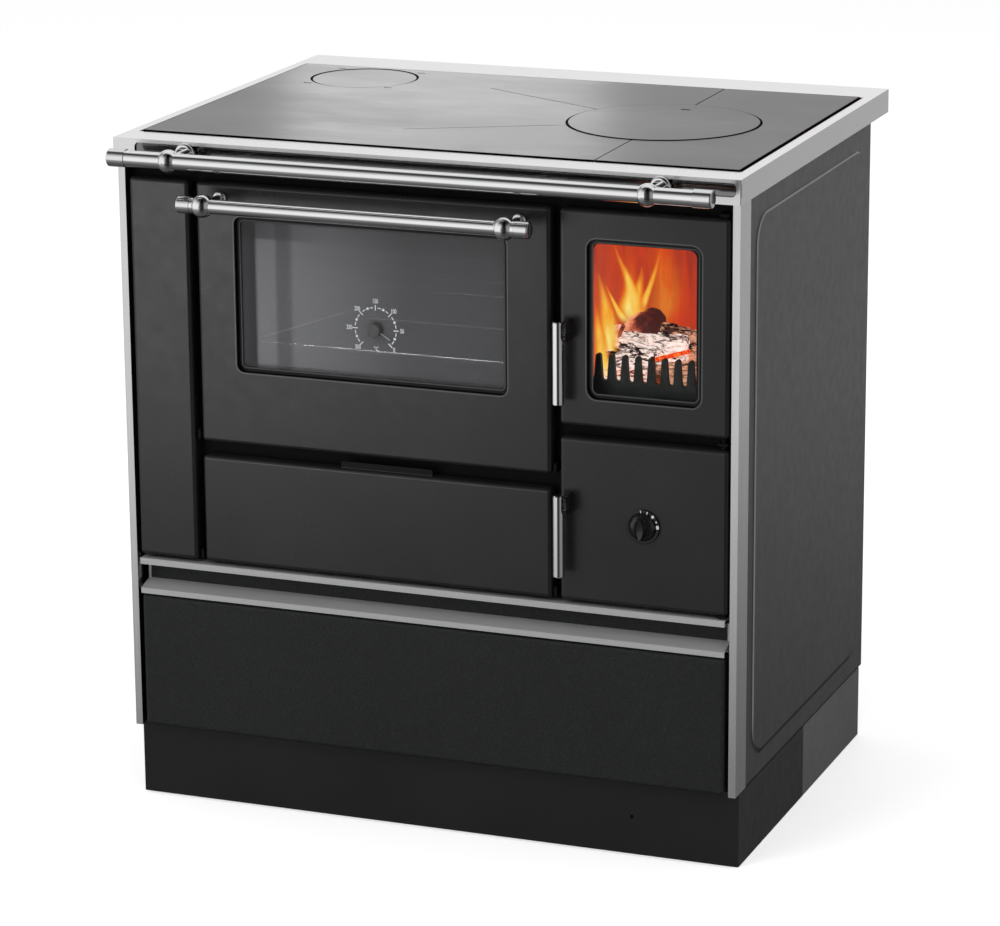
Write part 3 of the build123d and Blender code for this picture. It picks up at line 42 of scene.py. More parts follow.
FIRE_WINDOW, FIRE_CORNER = (0.2095, 0.3520, 0.5730, 0.7670), 0.013
FIRE_PANE, FIRE_PANE_CORNER = (0.2140, 0.3430, 0.5765, 0.7600), 0.0095      # clear part of the fire door's glass
SIDE_FIELD, SIDE_CORNER = (-0.2045, 0.2465, 0.1230, 0.7920), 0.038          # raised field, along Y and Z
BEZEL_WIDTH = 0.006
FLAP_TOP = 0.4582
OVEN_GLASS_X = (-0.246, 0.112)
RACK_FRONT_Y = -0.217
GROOVE_Y = ((-0.2788, -0.2776), (-0.2760, -0.2758))     # painted shade in the hob frame's groove: where it fades in and out again
GROOVE_Z = ((0.8285, 0.8290), (0.8455, 0.8460))
HOB_Y, HOB_HALF_X, HOB_HALF_Y = 0.0175, 0.3835, 0.2490
HOB_CIRCLES = ((0.204, 0.0215, 0.1195), (-0.266, 0.1885, 0.0693))           # ring lid, blanking plate: x, y, radius
HOB_PLATES = ("hob_plate", "ring_lid", "flue_blanking_plate")
DIAL_X, DIAL_Y, DIAL_Z = -0.06275, -0.26662, 0.634
FIREBOX_X = 0.28075                                     # middle of the firebox, its two doors and the air knob
KNOB_X, KNOB_Z = FIREBOX_X, 0.42325
PRINT_THICKNESS = 0.00012


def even(level):
    """A grey as a colour."""
    return (level, level, level)


# ---------------------------------------------------------------- materials
class Value:
    """A socket of a finish. Arithmetic on it adds the Math nodes."""

    def __init__(self, finish, socket):
        self.finish, self.socket = finish, socket

    def __add__(self, other):
        return self.finish.math("ADD", self, other)

    def __sub__(self, other):
        return self.finish.math("SUBTRACT", self, other)

    def __mul__(self, other):
        return self.finish.math("MULTIPLY", self, other)

    def __truediv__(self, other):
        return self.finish.math("DIVIDE", self, other)

    def __pow__(self, other):
        return self.finish.math("POWER", self, other)

    def __rsub__(self, other):
        return self.finish.math("SUBTRACT", other, self)

    __radd__ = __add__
    __rmul__ = __mul__


class Finish:
    """A material with one Principled surface, built up node by node."""

    def __init__(self, name, **surface):
        self.material = bpy.data.materials.new(name)
        self.material.use_nodes = True
        self.tree = self.material.node_tree
        self.surface = self.tree.nodes["Principled BSDF"]
        for socket, value in surface.items():
            self.set(socket.replace("_", " "), value)
        self.place = self.node("ShaderNodeTexCoord", output="Object")

    def node(self, kind, settings=None, inputs=(), output=0):
        """Adds a node. Its inputs stand in order, or under their names or numbers, each a Value or a constant."""
        made = self.tree.nodes.new(kind)
        for key, value in (settings or {}).items():
            if key == "stops":
                ramp = made.color_ramp.elements
                while len(ramp) < len(value):
                    ramp.new(1.0)
                for element, (at, colour) in zip(ramp, value):
                    element.position, element.color = at, (*colour, 1.0)
            else:
                setattr(made, key, value)
        for key, value in inputs.items() if isinstance(inputs, dict) else enumerate(inputs):
            if isinstance(value, Value):
                self.tree.links.new(value.socket, made.inputs[key])
            else:
                made.inputs[key].default_value = value
        return Value(self, made.outputs[output])

    def math(self, operation, *values, clamp=False):
        return self.node("ShaderNodeMath", {"operation": operation, "use_clamp": clamp}, values)

    def set(self, socket, value):
        if isinstance(value, Value):
            self.tree.links.new(value.socket, self.surface.inputs[socket])
        else:
            self.surface.inputs[socket].default_value = (*value, 1.0) if isinstance(value, tuple) else value

    def noise(self, scale, stretch=(1.0, 1.0, 1.0), detail=3.0, roughness=0.55, distortion=0.0, turn=(0.0, 0.0, 0.0)):
        """Noise over object coordinates that are multiplied along X, Y and Z, and turned."""
        place = self.node("ShaderNodeMapping", inputs={"Vector": self.place, "Rotation": turn, "Scale": stretch})
        return self.node("ShaderNodeTexNoise", inputs={
            "Vector": place, "Scale": scale, "Detail": detail, "Roughness": roughness, "Distortion": distortion},
            output="Fac")

    def weave(self, scale, distortion):
        """Diagonal bands of a braid or twist."""
        return self.node("ShaderNodeTexWave", {"bands_direction": "DIAGONAL"}, {
            "Vector": self.place, "Scale": scale, "Distortion": distortion})

    def spread(self, value, low, high, to_low=0.0, to_high=1.0):
        """Carries low to to_low and high to to_high, and stays flat beyond them."""
        return self.node("ShaderNodeMapRange", {"clamp": True}, (value, low, high, to_low, to_high))

    def near(self, value, target, full, gone, strength=1.0):
        """A soft band: its whole strength up to full from the target, nothing beyond gone."""
        return self.spread(self.math("ABSOLUTE", value - target), full, gone, strength, 0.0)

    def blend(self, factor, first, second, kind="MIX"):
        inputs = {0: factor, 6: first if isinstance(first, Value) else (*first, 1.0),
                  7: second if isinstance(second, Value) else (*second, 1.0)}
        return self.node("ShaderNodeMix", {"data_type": "RGBA", "blend_type": kind}, inputs, output=2)

    def ramp(self, value, stops):
        return self.node("ShaderNodeValToRGB", {"stops": stops}, (value,))

    def bump(self, height, strength, depth):
        self.set("Normal", self.node("ShaderNodeBump", inputs={
            "Strength": strength, "Distance": depth, "Height": height}, output="Normal"))

    def glow(self, colours, strength):
        self.set("Emission Color", colours)
        self.set("Emission Strength", strength)

    def axis(self, name):
        return self.node("ShaderNodeSeparateXYZ", inputs=(self.place,), output=name)

    def length(self, across, along):
        return self.math("SQRT", across * across + along * along)

    def outside(self, window, corner, axes="XZ"):
        """Distance outwards from the edge of a round-cornered window or field."""
        beyond = []
        for axis, low, high in zip(axes, window[::2], window[1::2]):
            from_middle = self.math("ABSOLUTE", self.axis(axis) - (low + high) / 2)
            beyond.append(self.math("MAXIMUM", from_middle - ((high - low) / 2 - corner), 0.0))
        return self.length(*beyond) - corner


def inset(window, margin):
    left, right, low, high = window
    return left + margin, right - margin, low + margin, high - margin


# Window edges with a painted highlight: the door panels' openings, and the bezels' inner edges.
PANEL_RIMS = ((OVEN_WINDOW, OVEN_CORNER), (FIRE_WINDOW, FIRE_CORNER))
BEZEL_RIMS = tuple((inset(window, BEZEL_WIDTH), corner / 2) for window, corner in PANEL_RIMS)


def enamel_tone(finish, colour, lighter):
    cloud = finish.noise(7.0, detail=4.0)
    grain = finish.noise(900.0, detail=2.0)
    return finish.blend(finish.spread(cloud * 0.75 + grain * 0.25, 0.35, 0.65), colour, lighter)


def enamel_sheen(finish, gloss):
    return finish.spread(finish.noise(60.0, detail=3.0), 0.3, 0.7, gloss - 0.03, gloss + 0.04)


def enamel(name, colour, lighter, gloss, orange_peel=0.10, specular=0.5, rims=(), shaded_above=None):
    """Fired enamel: a faint cloudiness in its tone, a fine orange peel and a slightly uneven sheen.

    Rims: a painted highlight, a lighter line round each window's edge. Above shaded_above: painted shade, dull and
    nearly black."""
    finish = Finish(name, Specular_IOR_Level=specular)
    tone = enamel_tone(finish, colour, lighter)
    sheen = enamel_sheen(finish, gloss)
    # painted highlight: a lighter line along each rim, where the edge would catch the light
    for window, corner in rims:
        painted_rim_highlight = finish.near(finish.outside(window, corner), 0.0007, 0.0005, 0.0010)
        tone = finish.blend(painted_rim_highlight, tone, (0.065, 0.066, 0.066))
    # painted shade: the finger lip above shaded_above lies in the gap under the oven door and is painted nearly black
    # and dull
    if shaded_above is not None:
        shaded = finish.spread(finish.axis("Z"), shaded_above, shaded_above + 0.0008)
        tone = finish.blend(shaded, tone, even(0.002))
        sheen = finish.math("MAXIMUM", sheen, shaded * 0.75)
    finish.set("Base Color", tone)
    finish.set("Roughness", sheen)
    finish.bump(finish.noise(420.0, detail=2.0), orange_peel, 0.0002)
    return finish.material


def pressed_side():
    """Side sheet: round its raised field, a painted highlight on the slope at the front and top, painted shade behind
    and below.
    """
    finish = Finish("side_enamel")
    tone = enamel_tone(finish, (0.024, 0.024, 0.0245), (0.031, 0.031, 0.0315))
    front, rear, low, high = SIDE_FIELD
    along = (finish.axis("Y") - (front + rear) / 2) / ((rear - front) / 2)
    upright = (finish.axis("Z") - (low + high) / 2) / ((high - low) / 2)
    lit = finish.spread(upright - along, -0.15, 0.15)
    edge = finish.outside(SIDE_FIELD, SIDE_CORNER, "YZ")
    # painted highlight on the lit side of the slope, painted shade on the other
    glint = finish.near(edge, -0.0012, 0.0005, 0.0011) * lit
    shade = finish.near(edge, 0.0008, 0.0024, 0.0044) * (1.0 - lit)
    finish.set("Base Color", finish.blend(shade, finish.blend(glint, tone, even(0.21)), even(0.003)))
    finish.set("Roughness", finish.math("MAXIMUM", shade * 0.6, enamel_sheen(finish, 0.34)))
    finish.bump(finish.noise(420.0, detail=2.0), 0.10, 0.0002)
    return finish.material


def brushed(name, colour, darker, gloss, along, metallic=1.0, scratch=0.12, groove=False):
    """Metal brushed along one axis: streaks in tone and sheen, hair-fine lines in the relief; with groove set, painted
    shade in the groove.
    """
    finish = Finish(name, Metallic=metallic)
    stretch = tuple(0.02 if axis == along else 1.0 for axis in "XYZ")
    fine = finish.noise(1800.0, stretch, detail=3.0)
    broad = finish.noise(240.0, stretch, detail=4.0)
    patch = finish.noise(9.0, detail=3.0)
    tone = finish.spread(fine * 0.35 + broad * 0.35 + patch * 0.3, 0.38, 0.62)
    colours = finish.blend(tone, darker, colour)
    sheen = finish.spread(broad * 0.6 + patch * 0.4, 0.35, 0.65, gloss - 0.04, gloss + 0.07)
    if groove:
        # painted shade: the hob frame's front groove is painted dark grey and glossier, standing for the shade in the
        # recess
        deep = 1.0
        for axis, (fades_in, fades_out) in (("Y", GROOVE_Y), ("Z", GROOVE_Z)):
            place = finish.axis(axis)
            deep = finish.spread(place, *fades_in) * finish.spread(place, *fades_out, 1.0, 0.0) * deep
        colours = finish.blend(deep, colours, even(0.20))
        sheen = sheen * (1.0 - deep * 0.6)
    finish.set("Base Color", colours)
    finish.set("Roughness", sheen)
    finish.bump(fine, scratch, 0.0001)
    return finish.material


def polished(name, colour, gloss, shaded_behind=None):
    """Polished chrome with faint wiping marks, painted dark grey behind the given depth as painted shade."""
    finish = Finish(name, Metallic=1.0)
    smear = finish.noise(35.0, (1.0, 4.0, 4.0), detail=4.0)
    tone = finish.blend(smear, tuple(0.93 * part for part in colour), colour)
    if shaded_behind is not None:
        # painted shade: behind its front bar the rack lies in the dark of the oven, so it is painted dark
        shade_behind_bar = finish.spread(finish.axis("Y"), shaded_behind, shaded_behind + 0.004)
        tone = finish.blend(shade_behind_bar, tone, (0.13, 0.125, 0.12))
    finish.set("Base Color", tone)
    finish.set("Roughness", finish.spread(smear, 0.35, 0.7, gloss, gloss + 0.035))
    finish.bump(finish.noise(160.0, detail=2.0), 0.03, 0.0001)
    return finish.material


def hob_surface():
    """Ground steel: long grinding streaks, cloudy heat marks, oil in the pores, and soot with painted shade along the
    plates' joints.
    """
    finish = Finish("ground_hob", Metallic=1.0)
    streak = finish.noise(520.0, (0.03, 1.0, 1.0), detail=5.0, roughness=0.65)
    cloud = finish.noise(5.5, (0.6, 1.3, 1.0), detail=5.0, roughness=0.6)
    pores = finish.noise(1400.0, (0.3, 1.0, 1.0), detail=2.0)
    ground = finish.ramp(finish.spread(streak * 0.45 + cloud * 0.4 + pores * 0.15, 0.36, 0.64), (
        (0.0, (0.046, 0.046, 0.047)), (0.5, even(0.090)), (1.0, (0.160, 0.160, 0.158))))
    x, y = finish.axis("X"), finish.axis("Y")
    joint = finish.math("MINIMUM", HOB_HALF_X - finish.math("ABSOLUTE", x),
                        HOB_HALF_Y - finish.math("ABSOLUTE", y - HOB_Y))
    for middle_x, middle_y, radius in HOB_CIRCLES:
        circle = finish.math("ABSOLUTE", finish.length(x - middle_x, y - middle_y) - radius)
        joint = finish.math("MINIMUM", joint, circle)
    # soot and painted shade: a dark, dull band along every joint, standing for the shade down in the gaps
    soot = finish.spread(joint, 0.0013, 0.0021, 1.0, 0.0)
    sheen = finish.spread(cloud * 0.5 + streak * 0.5, 0.35, 0.65, 0.27, 0.42)
    finish.set("Base Color", finish.blend(soot, ground, even(0.006)))
    finish.set("Roughness", finish.math("MAXIMUM", soot, sheen))
    finish.bump(streak * 0.8 + pores * 0.2, 0.26, 0.00015)
    return finish.material


def speckled_paint():
    """Matte black powder coat with fine lighter and greenish specks."""
    finish = Finish("drawer_powder_coat", Specular_IOR_Level=0.28)
    speck = finish.noise(1500.0, detail=1.0, roughness=0.3)
    cloud = finish.noise(6.0, detail=3.0)
    base = finish.blend(cloud, (0.0092, 0.0103, 0.0097), (0.0130, 0.0145, 0.0136))
    finish.set("Base Color", finish.blend(finish.spread(speck, 0.60, 0.68), base, (0.045, 0.053, 0.047)))
    finish.set("Roughness", finish.spread(speck, 0.4, 0.65, 0.48, 0.60))
    finish.bump(finish.noise(1100.0, detail=3.0), 0.30, 0.0002)
    return finish.material


def cast_iron(name, colour, lighter):
    """Sand-cast iron with a grainy skin and soot in patches."""
    finish = Finish(name, Metallic=0.0, Specular_IOR_Level=0.45)
    grain = finish.noise(420.0, detail=5.0, roughness=0.7)
    soot = finish.noise(18.0, detail=4.0)
    finish.set("Base Color", finish.blend(finish.spread(grain * 0.5 + soot * 0.5, 0.4, 0.62), colour, lighter))
    finish.set("Roughness", finish.spread(soot, 0.3, 0.7, 0.48, 0.68))
    finish.bump(grain, 0.5, 0.0004)
    return finish.material


def glass(name, tint, cover):
    """A pane: mostly see-through, its tint and reflection carried by the part that isn't."""
    finish = Finish(name, Roughness=0.03, Specular_IOR_Level=1.0, IOR=1.52)
    cloud = finish.noise(3.0, detail=2.0)
    finish.set("Base Color", finish.blend(cloud, tint, tuple(1.25 * part for part in tint)))
    finish.set("Alpha", finish.spread(cloud, 0.3, 0.7, cover - 0.02, cover + 0.02))
    return finish.material


def coated_oven_glass_painted_light():
    """Smoke-coated outer pane with painted light: reflections brightest at its left, shade at the screen's margins,
    and the glint of a slanting bar behind it.
    """
    finish = Finish("oven_glass", Roughness=0.03, Specular_IOR_Level=0.45, IOR=1.52)
    x, z = finish.axis("X"), finish.axis("Z")
    # painted reflections and shade: bands of light and dark across the pane
    tone = finish.ramp(finish.spread(x, *OVEN_GLASS_X), (
        (0.0, (0.012, 0.012, 0.013)), (0.030, (0.052, 0.052, 0.058)), (0.052, (0.030, 0.030, 0.034)),
        (0.070, (0.026, 0.026, 0.029)), (0.080, (0.225, 0.226, 0.240)), (0.142, (0.215, 0.216, 0.230)),
        (0.155, (0.120, 0.121, 0.129)), (0.195, (0.122, 0.123, 0.131)), (0.215, (0.215, 0.216, 0.230)),
        (0.36, (0.180, 0.181, 0.193)), (0.62, (0.094, 0.095, 0.101)), (1.0, (0.078, 0.079, 0.084))))
    # painted shade along the top and bottom margins
    top_painted_shade = finish.spread(z, 0.7330, 0.7360) * finish.spread(x, -0.22, -0.13, 0.68, 0.10)
    margin = finish.math("MAXIMUM", top_painted_shade, finish.spread(z, 0.5790, 0.5770, 0.0, 0.55))
    # painted glint of a slanting bar of the rack behind the pane
    painted_bar_glint = finish.near(z - (x + 0.2230) * 0.36, 0.6085, 0.0002, 0.0009, 0.30)
    painted_bar_glint = painted_bar_glint * finish.spread(x, -0.215, -0.205) * finish.spread(x, -0.085, -0.080, 1.0, 0.0)
    painted_light_on_glass = finish.blend(margin, tone, (0.018, 0.018, 0.020))
    finish.set("Base Color", finish.blend(painted_bar_glint, painted_light_on_glass, (0.42, 0.42, 0.44)))
    finish.set("Alpha", finish.spread(finish.noise(3.0, detail=2.0), 0.3, 0.7, 0.56, 0.62))
    return finish.material


def rimmed_fire_glass():
    """Clear ceramic pane with a printed black rim."""
    finish = Finish("fire_glass", Roughness=0.03, Specular_IOR_Level=0.10, IOR=1.52)
    rim = finish.spread(finish.outside(FIRE_PANE, FIRE_PANE_CORNER), -0.0003, 0.0003)
    soot = finish.noise(24.0, detail=4.0)
    finish.set("Base Color", finish.blend(soot, (0.004, 0.004, 0.004), (0.012, 0.010, 0.009)))
    finish.set("Alpha", finish.math("MAXIMUM", rim, finish.spread(soot, 0.4, 0.7, 0.03, 0.08)))
    return finish.material


def braided_rope():
    """Glass-fibre door rope, a small diagonal braid."""
    finish = Finish("braided_rope", Roughness=0.9, Sheen_Weight=0.2)
    braid = finish.weave(220.0, 1.5)
    finish.set("Base Color", finish.blend(braid, (0.020, 0.020, 0.020), (0.060, 0.060, 0.058)))
    finish.bump(braid, 0.6, 0.0008)
    return finish.material


def lumpy_black():
    """Dipped black castings of the latches: glossy, with a knobbly skin that glints."""
    finish = Finish("latch_black", Specular_IOR_Level=0.7, Roughness=0.07)
    lumps = finish.noise(330.0, detail=1.0, roughness=0.5)
    finish.set("Base Color", finish.blend(lumps, (0.003, 0.003, 0.003), (0.008, 0.008, 0.008)))
    finish.bump(lumps, 1.0, 0.0050)
    return finish.material


def brick_painted_firelight():
    """Fireclay with painted firelight: a glow of drifting red and orange light, strongest right of the flames, over
    pale, sooty clay.
    """
    finish = Finish("brick_painted_firelight", Roughness=0.85)
    drift = finish.noise(17.0, (1.0, 1.0, 0.45), detail=5.0, roughness=0.55, distortion=0.6)
    grit = finish.noise(300.0, detail=3.0)
    finish.set("Base Color", finish.blend(drift, (0.10, 0.05, 0.035), (0.30, 0.16, 0.10)))
    middle = finish.near(finish.axis("X"), 0.255, 0.0, 0.080, 0.50)
    # level of the painted firelight: strongest in a band right of the flames, fading upwards
    heat = middle * finish.spread(finish.axis("Z"), 0.66, 0.78, 1.0, 0.50)
    heat = heat + (drift - 0.5) * 1.2 + (grit - 0.5) * 0.10 + 0.28
    finish.glow(finish.ramp(heat, (
        (0.0, (0.16, 0.028, 0.020)), (0.30, (0.36, 0.036, 0.021)), (0.55, (0.56, 0.050, 0.016)),
        (0.80, (0.78, 0.080, 0.012)), (1.0, (0.90, 0.20, 0.024)))), 0.95)
    finish.bump(grit * 0.5 + drift * 0.5, 0.4, 0.001)
    return finish.material


def wood(name, light, warm, dark, burnt_from, lit, glow_top=0.60):
    """Burning wood: pale ash split by long black cracks, charred in patches, embers deep between the logs, and painted
    firelight all over.
    """
    finish = Finish(name, Roughness=0.9, Specular_IOR_Level=0.2)
    patch = finish.noise(30.0, (0.8, 1.0, 1.4), detail=3.0, roughness=0.55, distortion=0.8)
    fine = finish.noise(420.0, (0.45, 1.0, 1.0), detail=4.0, roughness=0.7)
    long_veins, short_veins = (finish.noise(
        scale, (0.38, 1.0, 1.25), detail=3.0, roughness=0.6, distortion=0.4, turn=(0.0, 0.45, 0.0))
        for scale in (62.0, 160.0))
    cracks = finish.math("MAXIMUM", finish.near(long_veins, 0.5, 0.020, 0.046),
                         finish.near(short_veins, 0.5, 0.008, 0.026, 0.8))
    burnt = finish.spread(patch + (fine - 0.5) * 0.5, burnt_from, burnt_from + 0.07)
    tone = finish.blend(burnt, finish.blend(finish.spread(fine, 0.35, 0.65), warm, light), dark)
    black = cracks * finish.spread(patch, burnt_from - 0.22, burnt_from - 0.02, 0.35, 1.0)
    tone = finish.blend(black, tone, (0.012, 0.006, 0.006))
    finish.set("Base Color", tone)
    under = finish.spread(finish.axis("Z"), glow_top - 0.03, glow_top, 0.6, 0.0) * finish.spread(patch, 0.47, 0.60)
    # painted firelight: the surface glows in its own colour at strength lit; the orange low down is the embers' glow
    finish.glow(finish.blend(under, tone, (1.0, 0.16, 0.02)), lit)
    finish.bump(fine * 0.5 - cracks, 0.7, 0.0015)
    return finish.material


def round_end():
    """Barkless end of a small log with painted light: pink and orange on the flame side, dark red on the other,
    glowing in those colours.
    """
    finish = Finish("round_log_end", Roughness=0.85, Specular_IOR_Level=0.2)
    fine = finish.noise(300.0, detail=4.0, roughness=0.65)
    patch = finish.noise(70.0, detail=3.0)
    # painted light and shade across the end: lit towards the flames, dark away from them
    away = finish.axis("X") + (finish.axis("Z") - 0.638) * 0.25 + (patch - 0.5) * 0.045
    tone = finish.ramp(finish.spread(away, 0.222, 0.250) + (fine - 0.5) * 0.25, (
        (0.0, (0.86, 0.52, 0.34)), (0.28, (0.84, 0.38, 0.21)), (0.52, (0.46, 0.11, 0.06)),
        (0.78, (0.16, 0.035, 0.028)), (1.0, (0.07, 0.024, 0.022))))
    finish.set("Base Color", tone)
    # painted firelight: the end glows in its own colour
    finish.glow(tone, 0.62)
    finish.bump(fine, 0.5, 0.001)
    return finish.material


def embers():
    """Ember bed: ash over lumps whose joints glow in patches."""
    finish = Finish("ember_bed", Roughness=0.95)
    cells = finish.node("ShaderNodeTexVoronoi", {"feature": "DISTANCE_TO_EDGE"}, {
        "Vector": finish.place, "Scale": 120.0}, output="Distance")
    patch = finish.noise(30.0, detail=4.0)
    hot = finish.spread(cells, 0.0, 0.14, 1.0, 0.0) * finish.spread(patch, 0.40, 0.60)
    finish.set("Base Color", finish.blend(patch, (0.05, 0.03, 0.03), (0.42, 0.33, 0.29)))
    finish.glow(finish.ramp(hot, (
        (0.0, (0.16, 0.030, 0.018)), (0.5, (0.80, 0.10, 0.015)), (1.0, (1.0, 0.42, 0.06)))), 0.9)
    finish.bump(cells, 0.6, 0.002)
    return finish.material


def flames(name, strength, hot):
    """Light of a flame over its own map: yellow in its body, orange towards edges and tip, drawn out in streaks."""
    finish = Finish(name, Roughness=1.0, Specular_IOR_Level=0.0, Base_Color=(0.0, 0.0, 0.0))
    flat = finish.node("ShaderNodeTexCoord", output="UV")
    across = finish.node("ShaderNodeSeparateXYZ", inputs=(flat,), output="X")
    up = finish.node("ShaderNodeSeparateXYZ", inputs=(flat,), output="Y")
    streaks = finish.noise(1.0, (150.0, 60.0, 26.0), detail=4.0, roughness=0.5, distortion=0.5)
    side = finish.math("ABSOLUTE", across * 2.0 - 1.0) + (streaks - 0.5) * 0.55
    body = finish.math("MAXIMUM", 1.0 - side * side, 0.0)
    ends = finish.spread(up, 0.0, 0.22) * finish.spread(up, 0.60, 1.0, 1.0, 0.15)
    finish.set("Alpha", finish.math("MULTIPLY", body ** 1.3 * ends, strength, clamp=True))
    heat = body * (1.0 - up * 0.62) + (streaks - 0.5) * 0.9 + hot
    finish.glow(finish.ramp(heat, (
        (0.0, (0.78, 0.11, 0.014)), (0.28, (0.90, 0.25, 0.022)), (0.52, (0.96, 0.46, 0.050)),
        (0.78, (0.99, 0.70, 0.15)), (1.0, (1.0, 0.86, 0.36)))), 1.0)
    return finish.material


def ember_streak():
    """Glowing crack between two logs."""
    finish = Finish("ember_line", Roughness=0.9)
    sparks = finish.noise(260.0, detail=3.0)
    finish.set("Base Color", finish.blend(sparks, (0.10, 0.02, 0.01), (0.30, 0.05, 0.02)))
    finish.glow(finish.ramp(finish.spread(sparks, 0.35, 0.65), (
        (0.0, (0.45, 0.02, 0.008)), (0.6, (1.0, 0.075, 0.010)), (1.0, (1.0, 0.30, 0.03)))), 1.0)
    return finish.material


def red_cord():
    """Twisted cord that seals the hob plate."""
    finish = Finish("twisted_cord", Roughness=0.8)
    twist = finish.weave(160.0, 1.0)
    finish.set("Base Color", finish.blend(twist, (0.035, 0.004, 0.006), (0.22, 0.012, 0.022)))
    finish.bump(twist, 0.5, 0.0004)
    return finish.material


# ---------------------------------------------------------------- a finish for every part, and for the added pieces
DOOR_BLACK = ((0.0085, 0.0085, 0.0087), (0.0125, 0.0125, 0.0128), 0.30)
finishes = {
    brushed("stainless_frame", (0.82, 0.82, 0.815), even(0.72), 0.20, "X", scratch=0.06, groove=True): ("hob_frame",),
    brushed("satin_caps", even(0.84), even(0.74), 0.09, "X", scratch=0.04): ("rail_end_caps", "oven_handle_caps"),
    brushed("stainless_posts", even(0.76), (0.66, 0.66, 0.665), 0.20, "Z", scratch=0.06): (
        "corner_post_left", "corner_post_right"),
    polished("chrome", (0.88, 0.88, 0.89), 0.025): (
        "guard_rail", "rail_posts", "oven_handle_rod", "oven_handle_posts", "fire_latch_rod", "ash_latch_rod"),
    polished("rack_chrome", even(0.86), 0.15, shaded_behind=RACK_FRONT_Y): ("oven_rack",),
    hob_surface(): HOB_PLATES,
    enamel("door_enamel", *DOOR_BLACK, specular=0.36, rims=PANEL_RIMS): (
        "oven_door_panel", "fire_door_panel", "ash_door_panel", "ash_door_inner"),
    # painted shade on the finger lip above FLAP_TOP
    enamel("flap_enamel", *DOOR_BLACK, specular=0.36, shaded_above=FLAP_TOP): ("lower_flap_panel",),
    # black bezels, darkened further as painted shade of the window recesses, with a painted highlight round their
    # inner edges
    enamel("bezel_black", even(0.0030), even(0.0050), 0.22, specular=0.22, rims=BEZEL_RIMS): (
        "oven_door_inner", "fire_door_inner"),
    enamel("filler_enamel", (0.0090, 0.0090, 0.0098), (0.0130, 0.0130, 0.0140), 0.30, specular=0.36): (
        "left_filler_panel",),
    pressed_side(): ("side_panel_left", "side_panel_right"),
    enamel("plinth_paint", (0.0090, 0.0090, 0.0092), (0.0125, 0.0125, 0.0128), 0.40, specular=0.40): ("plinth_front",),
    enamel("plinth_rear_paint", even(0.080), even(0.098), 0.40): ("plinth_rear",),
    enamel("black_steel", even(0.010), even(0.016), 0.45): (
        "back_panel", "base_plate", "firebox_shell", "warming_box", "startup_damper", "flue_spigot",
        "fire_glass_retainer", "oven_inner_screen"),
    # painted shade: the front plate and hinge pins show only in the gaps between the doors, so they are painted nearly
    # black and dull
    enamel("steel_painted_shade", even(0.0030), even(0.0050), 0.55, specular=0.15): ("front_plate", "hinge_pins"),
    enamel("oven_enamel", (0.030, 0.031, 0.034), (0.045, 0.046, 0.050), 0.25): ("oven_box",),
    speckled_paint(): ("drawer_front",),
    brushed("anodised_grip", (0.52, 0.52, 0.525), (0.46, 0.46, 0.465), 0.36, "X", metallic=0.45, scratch=0.08): (
        "drawer_grip",),
    brushed("zinc_sheet", (0.42, 0.425, 0.435), (0.30, 0.305, 0.315), 0.38, "Y", scratch=0.1): (
        "drawer_box", "drawer_runners", "levelling_feet", "ash_pan"),
    cast_iron("guard_iron", (0.012, 0.015, 0.0135), (0.036, 0.043, 0.038)): ("fire_guard", "grate"),
    coated_oven_glass_painted_light(): ("oven_glass",),
    glass("inner_glass", (0.030, 0.030, 0.032), 0.10): ("oven_inner_glass",),
    rimmed_fire_glass(): ("fire_glass",),
    braided_rope(): ("oven_door_seal", "fire_door_seal", "ash_door_seal"),
    enamel("gloss_black", even(0.006), even(0.009), 0.09, 0.02, specular=0.4): ("air_knob", "air_knob_bezel"),
    lumpy_black(): ("fire_latch_bracket", "ash_latch_bracket"),
    enamel("hub_satin", (0.060, 0.059, 0.058), (0.075, 0.074, 0.073), 0.28, 0.04): ("thermometer_hub",),
    enamel("satin_iron", even(0.02), even(0.03), 0.4): ("air_disc",),
    enamel("pointer_grey", (0.30, 0.30, 0.305), (0.38, 0.38, 0.385), 0.4, 0.02): ("thermometer_pointer",),
    brick_painted_firelight(): ("firebricks",),
}
for finish, names in finishes.items():
    for name in names:
        slots = parts[name].data.materials
        slots.clear()
        slots.append(finish)
dressed = {name for names in finishes.values() for name in names}
assert dressed == set(parts), set(parts) ^ dressed

# Each wood's last number is the strength of its painted firelight.
ash_wood = wood("ash_wood", (1.0, 0.93, 0.88), (0.78, 0.56, 0.47), (0.045, 0.022, 0.020), 0.575, 0.95)
burning_wood = wood("burning_wood", (0.80, 0.46, 0.30), (0.50, 0.22, 0.13), (0.065, 0.028, 0.024), 0.50, 0.80)
charred_wood = wood("charred_wood", (0.52, 0.12, 0.07), (0.30, 0.060, 0.040), (0.075, 0.022, 0.022), 0.56, 0.70)
log_end, ember_glow, ember_line = round_end(), embers(), ember_streak()
flame_light = flames("flame_light", 1.15, -0.10)
flame_haze = flames("flame_haze", 0.42, -0.42)
twisted_cord = red_cord()
print_white = enamel("print_white", (0.62, 0.63, 0.66), (0.72, 0.73, 0.76), 0.5, 0.02)
knob_black = enamel("knob_black", even(0.006), even(0.009), 0.12, 0.02)


# ---------------------------------------------------------------- making pieces
def clear_selection():
    if bpy.context.object and bpy.context.object.mode != "OBJECT":
        bpy.ops.object.mode_set(mode="OBJECT")
    bpy.ops.object.select_all(action="DESELECT")


def select_only(piece):
    clear_selection()
    piece.select_set(True)
    bpy.context.view_layer.objects.active = piece


def settle(piece):
    """Puts the piece's place into its mesh, with its object at the origin."""
    select_only(piece)
    bpy.ops.object.transform_apply(location=True, rotation=True, scale=True)
    return piece


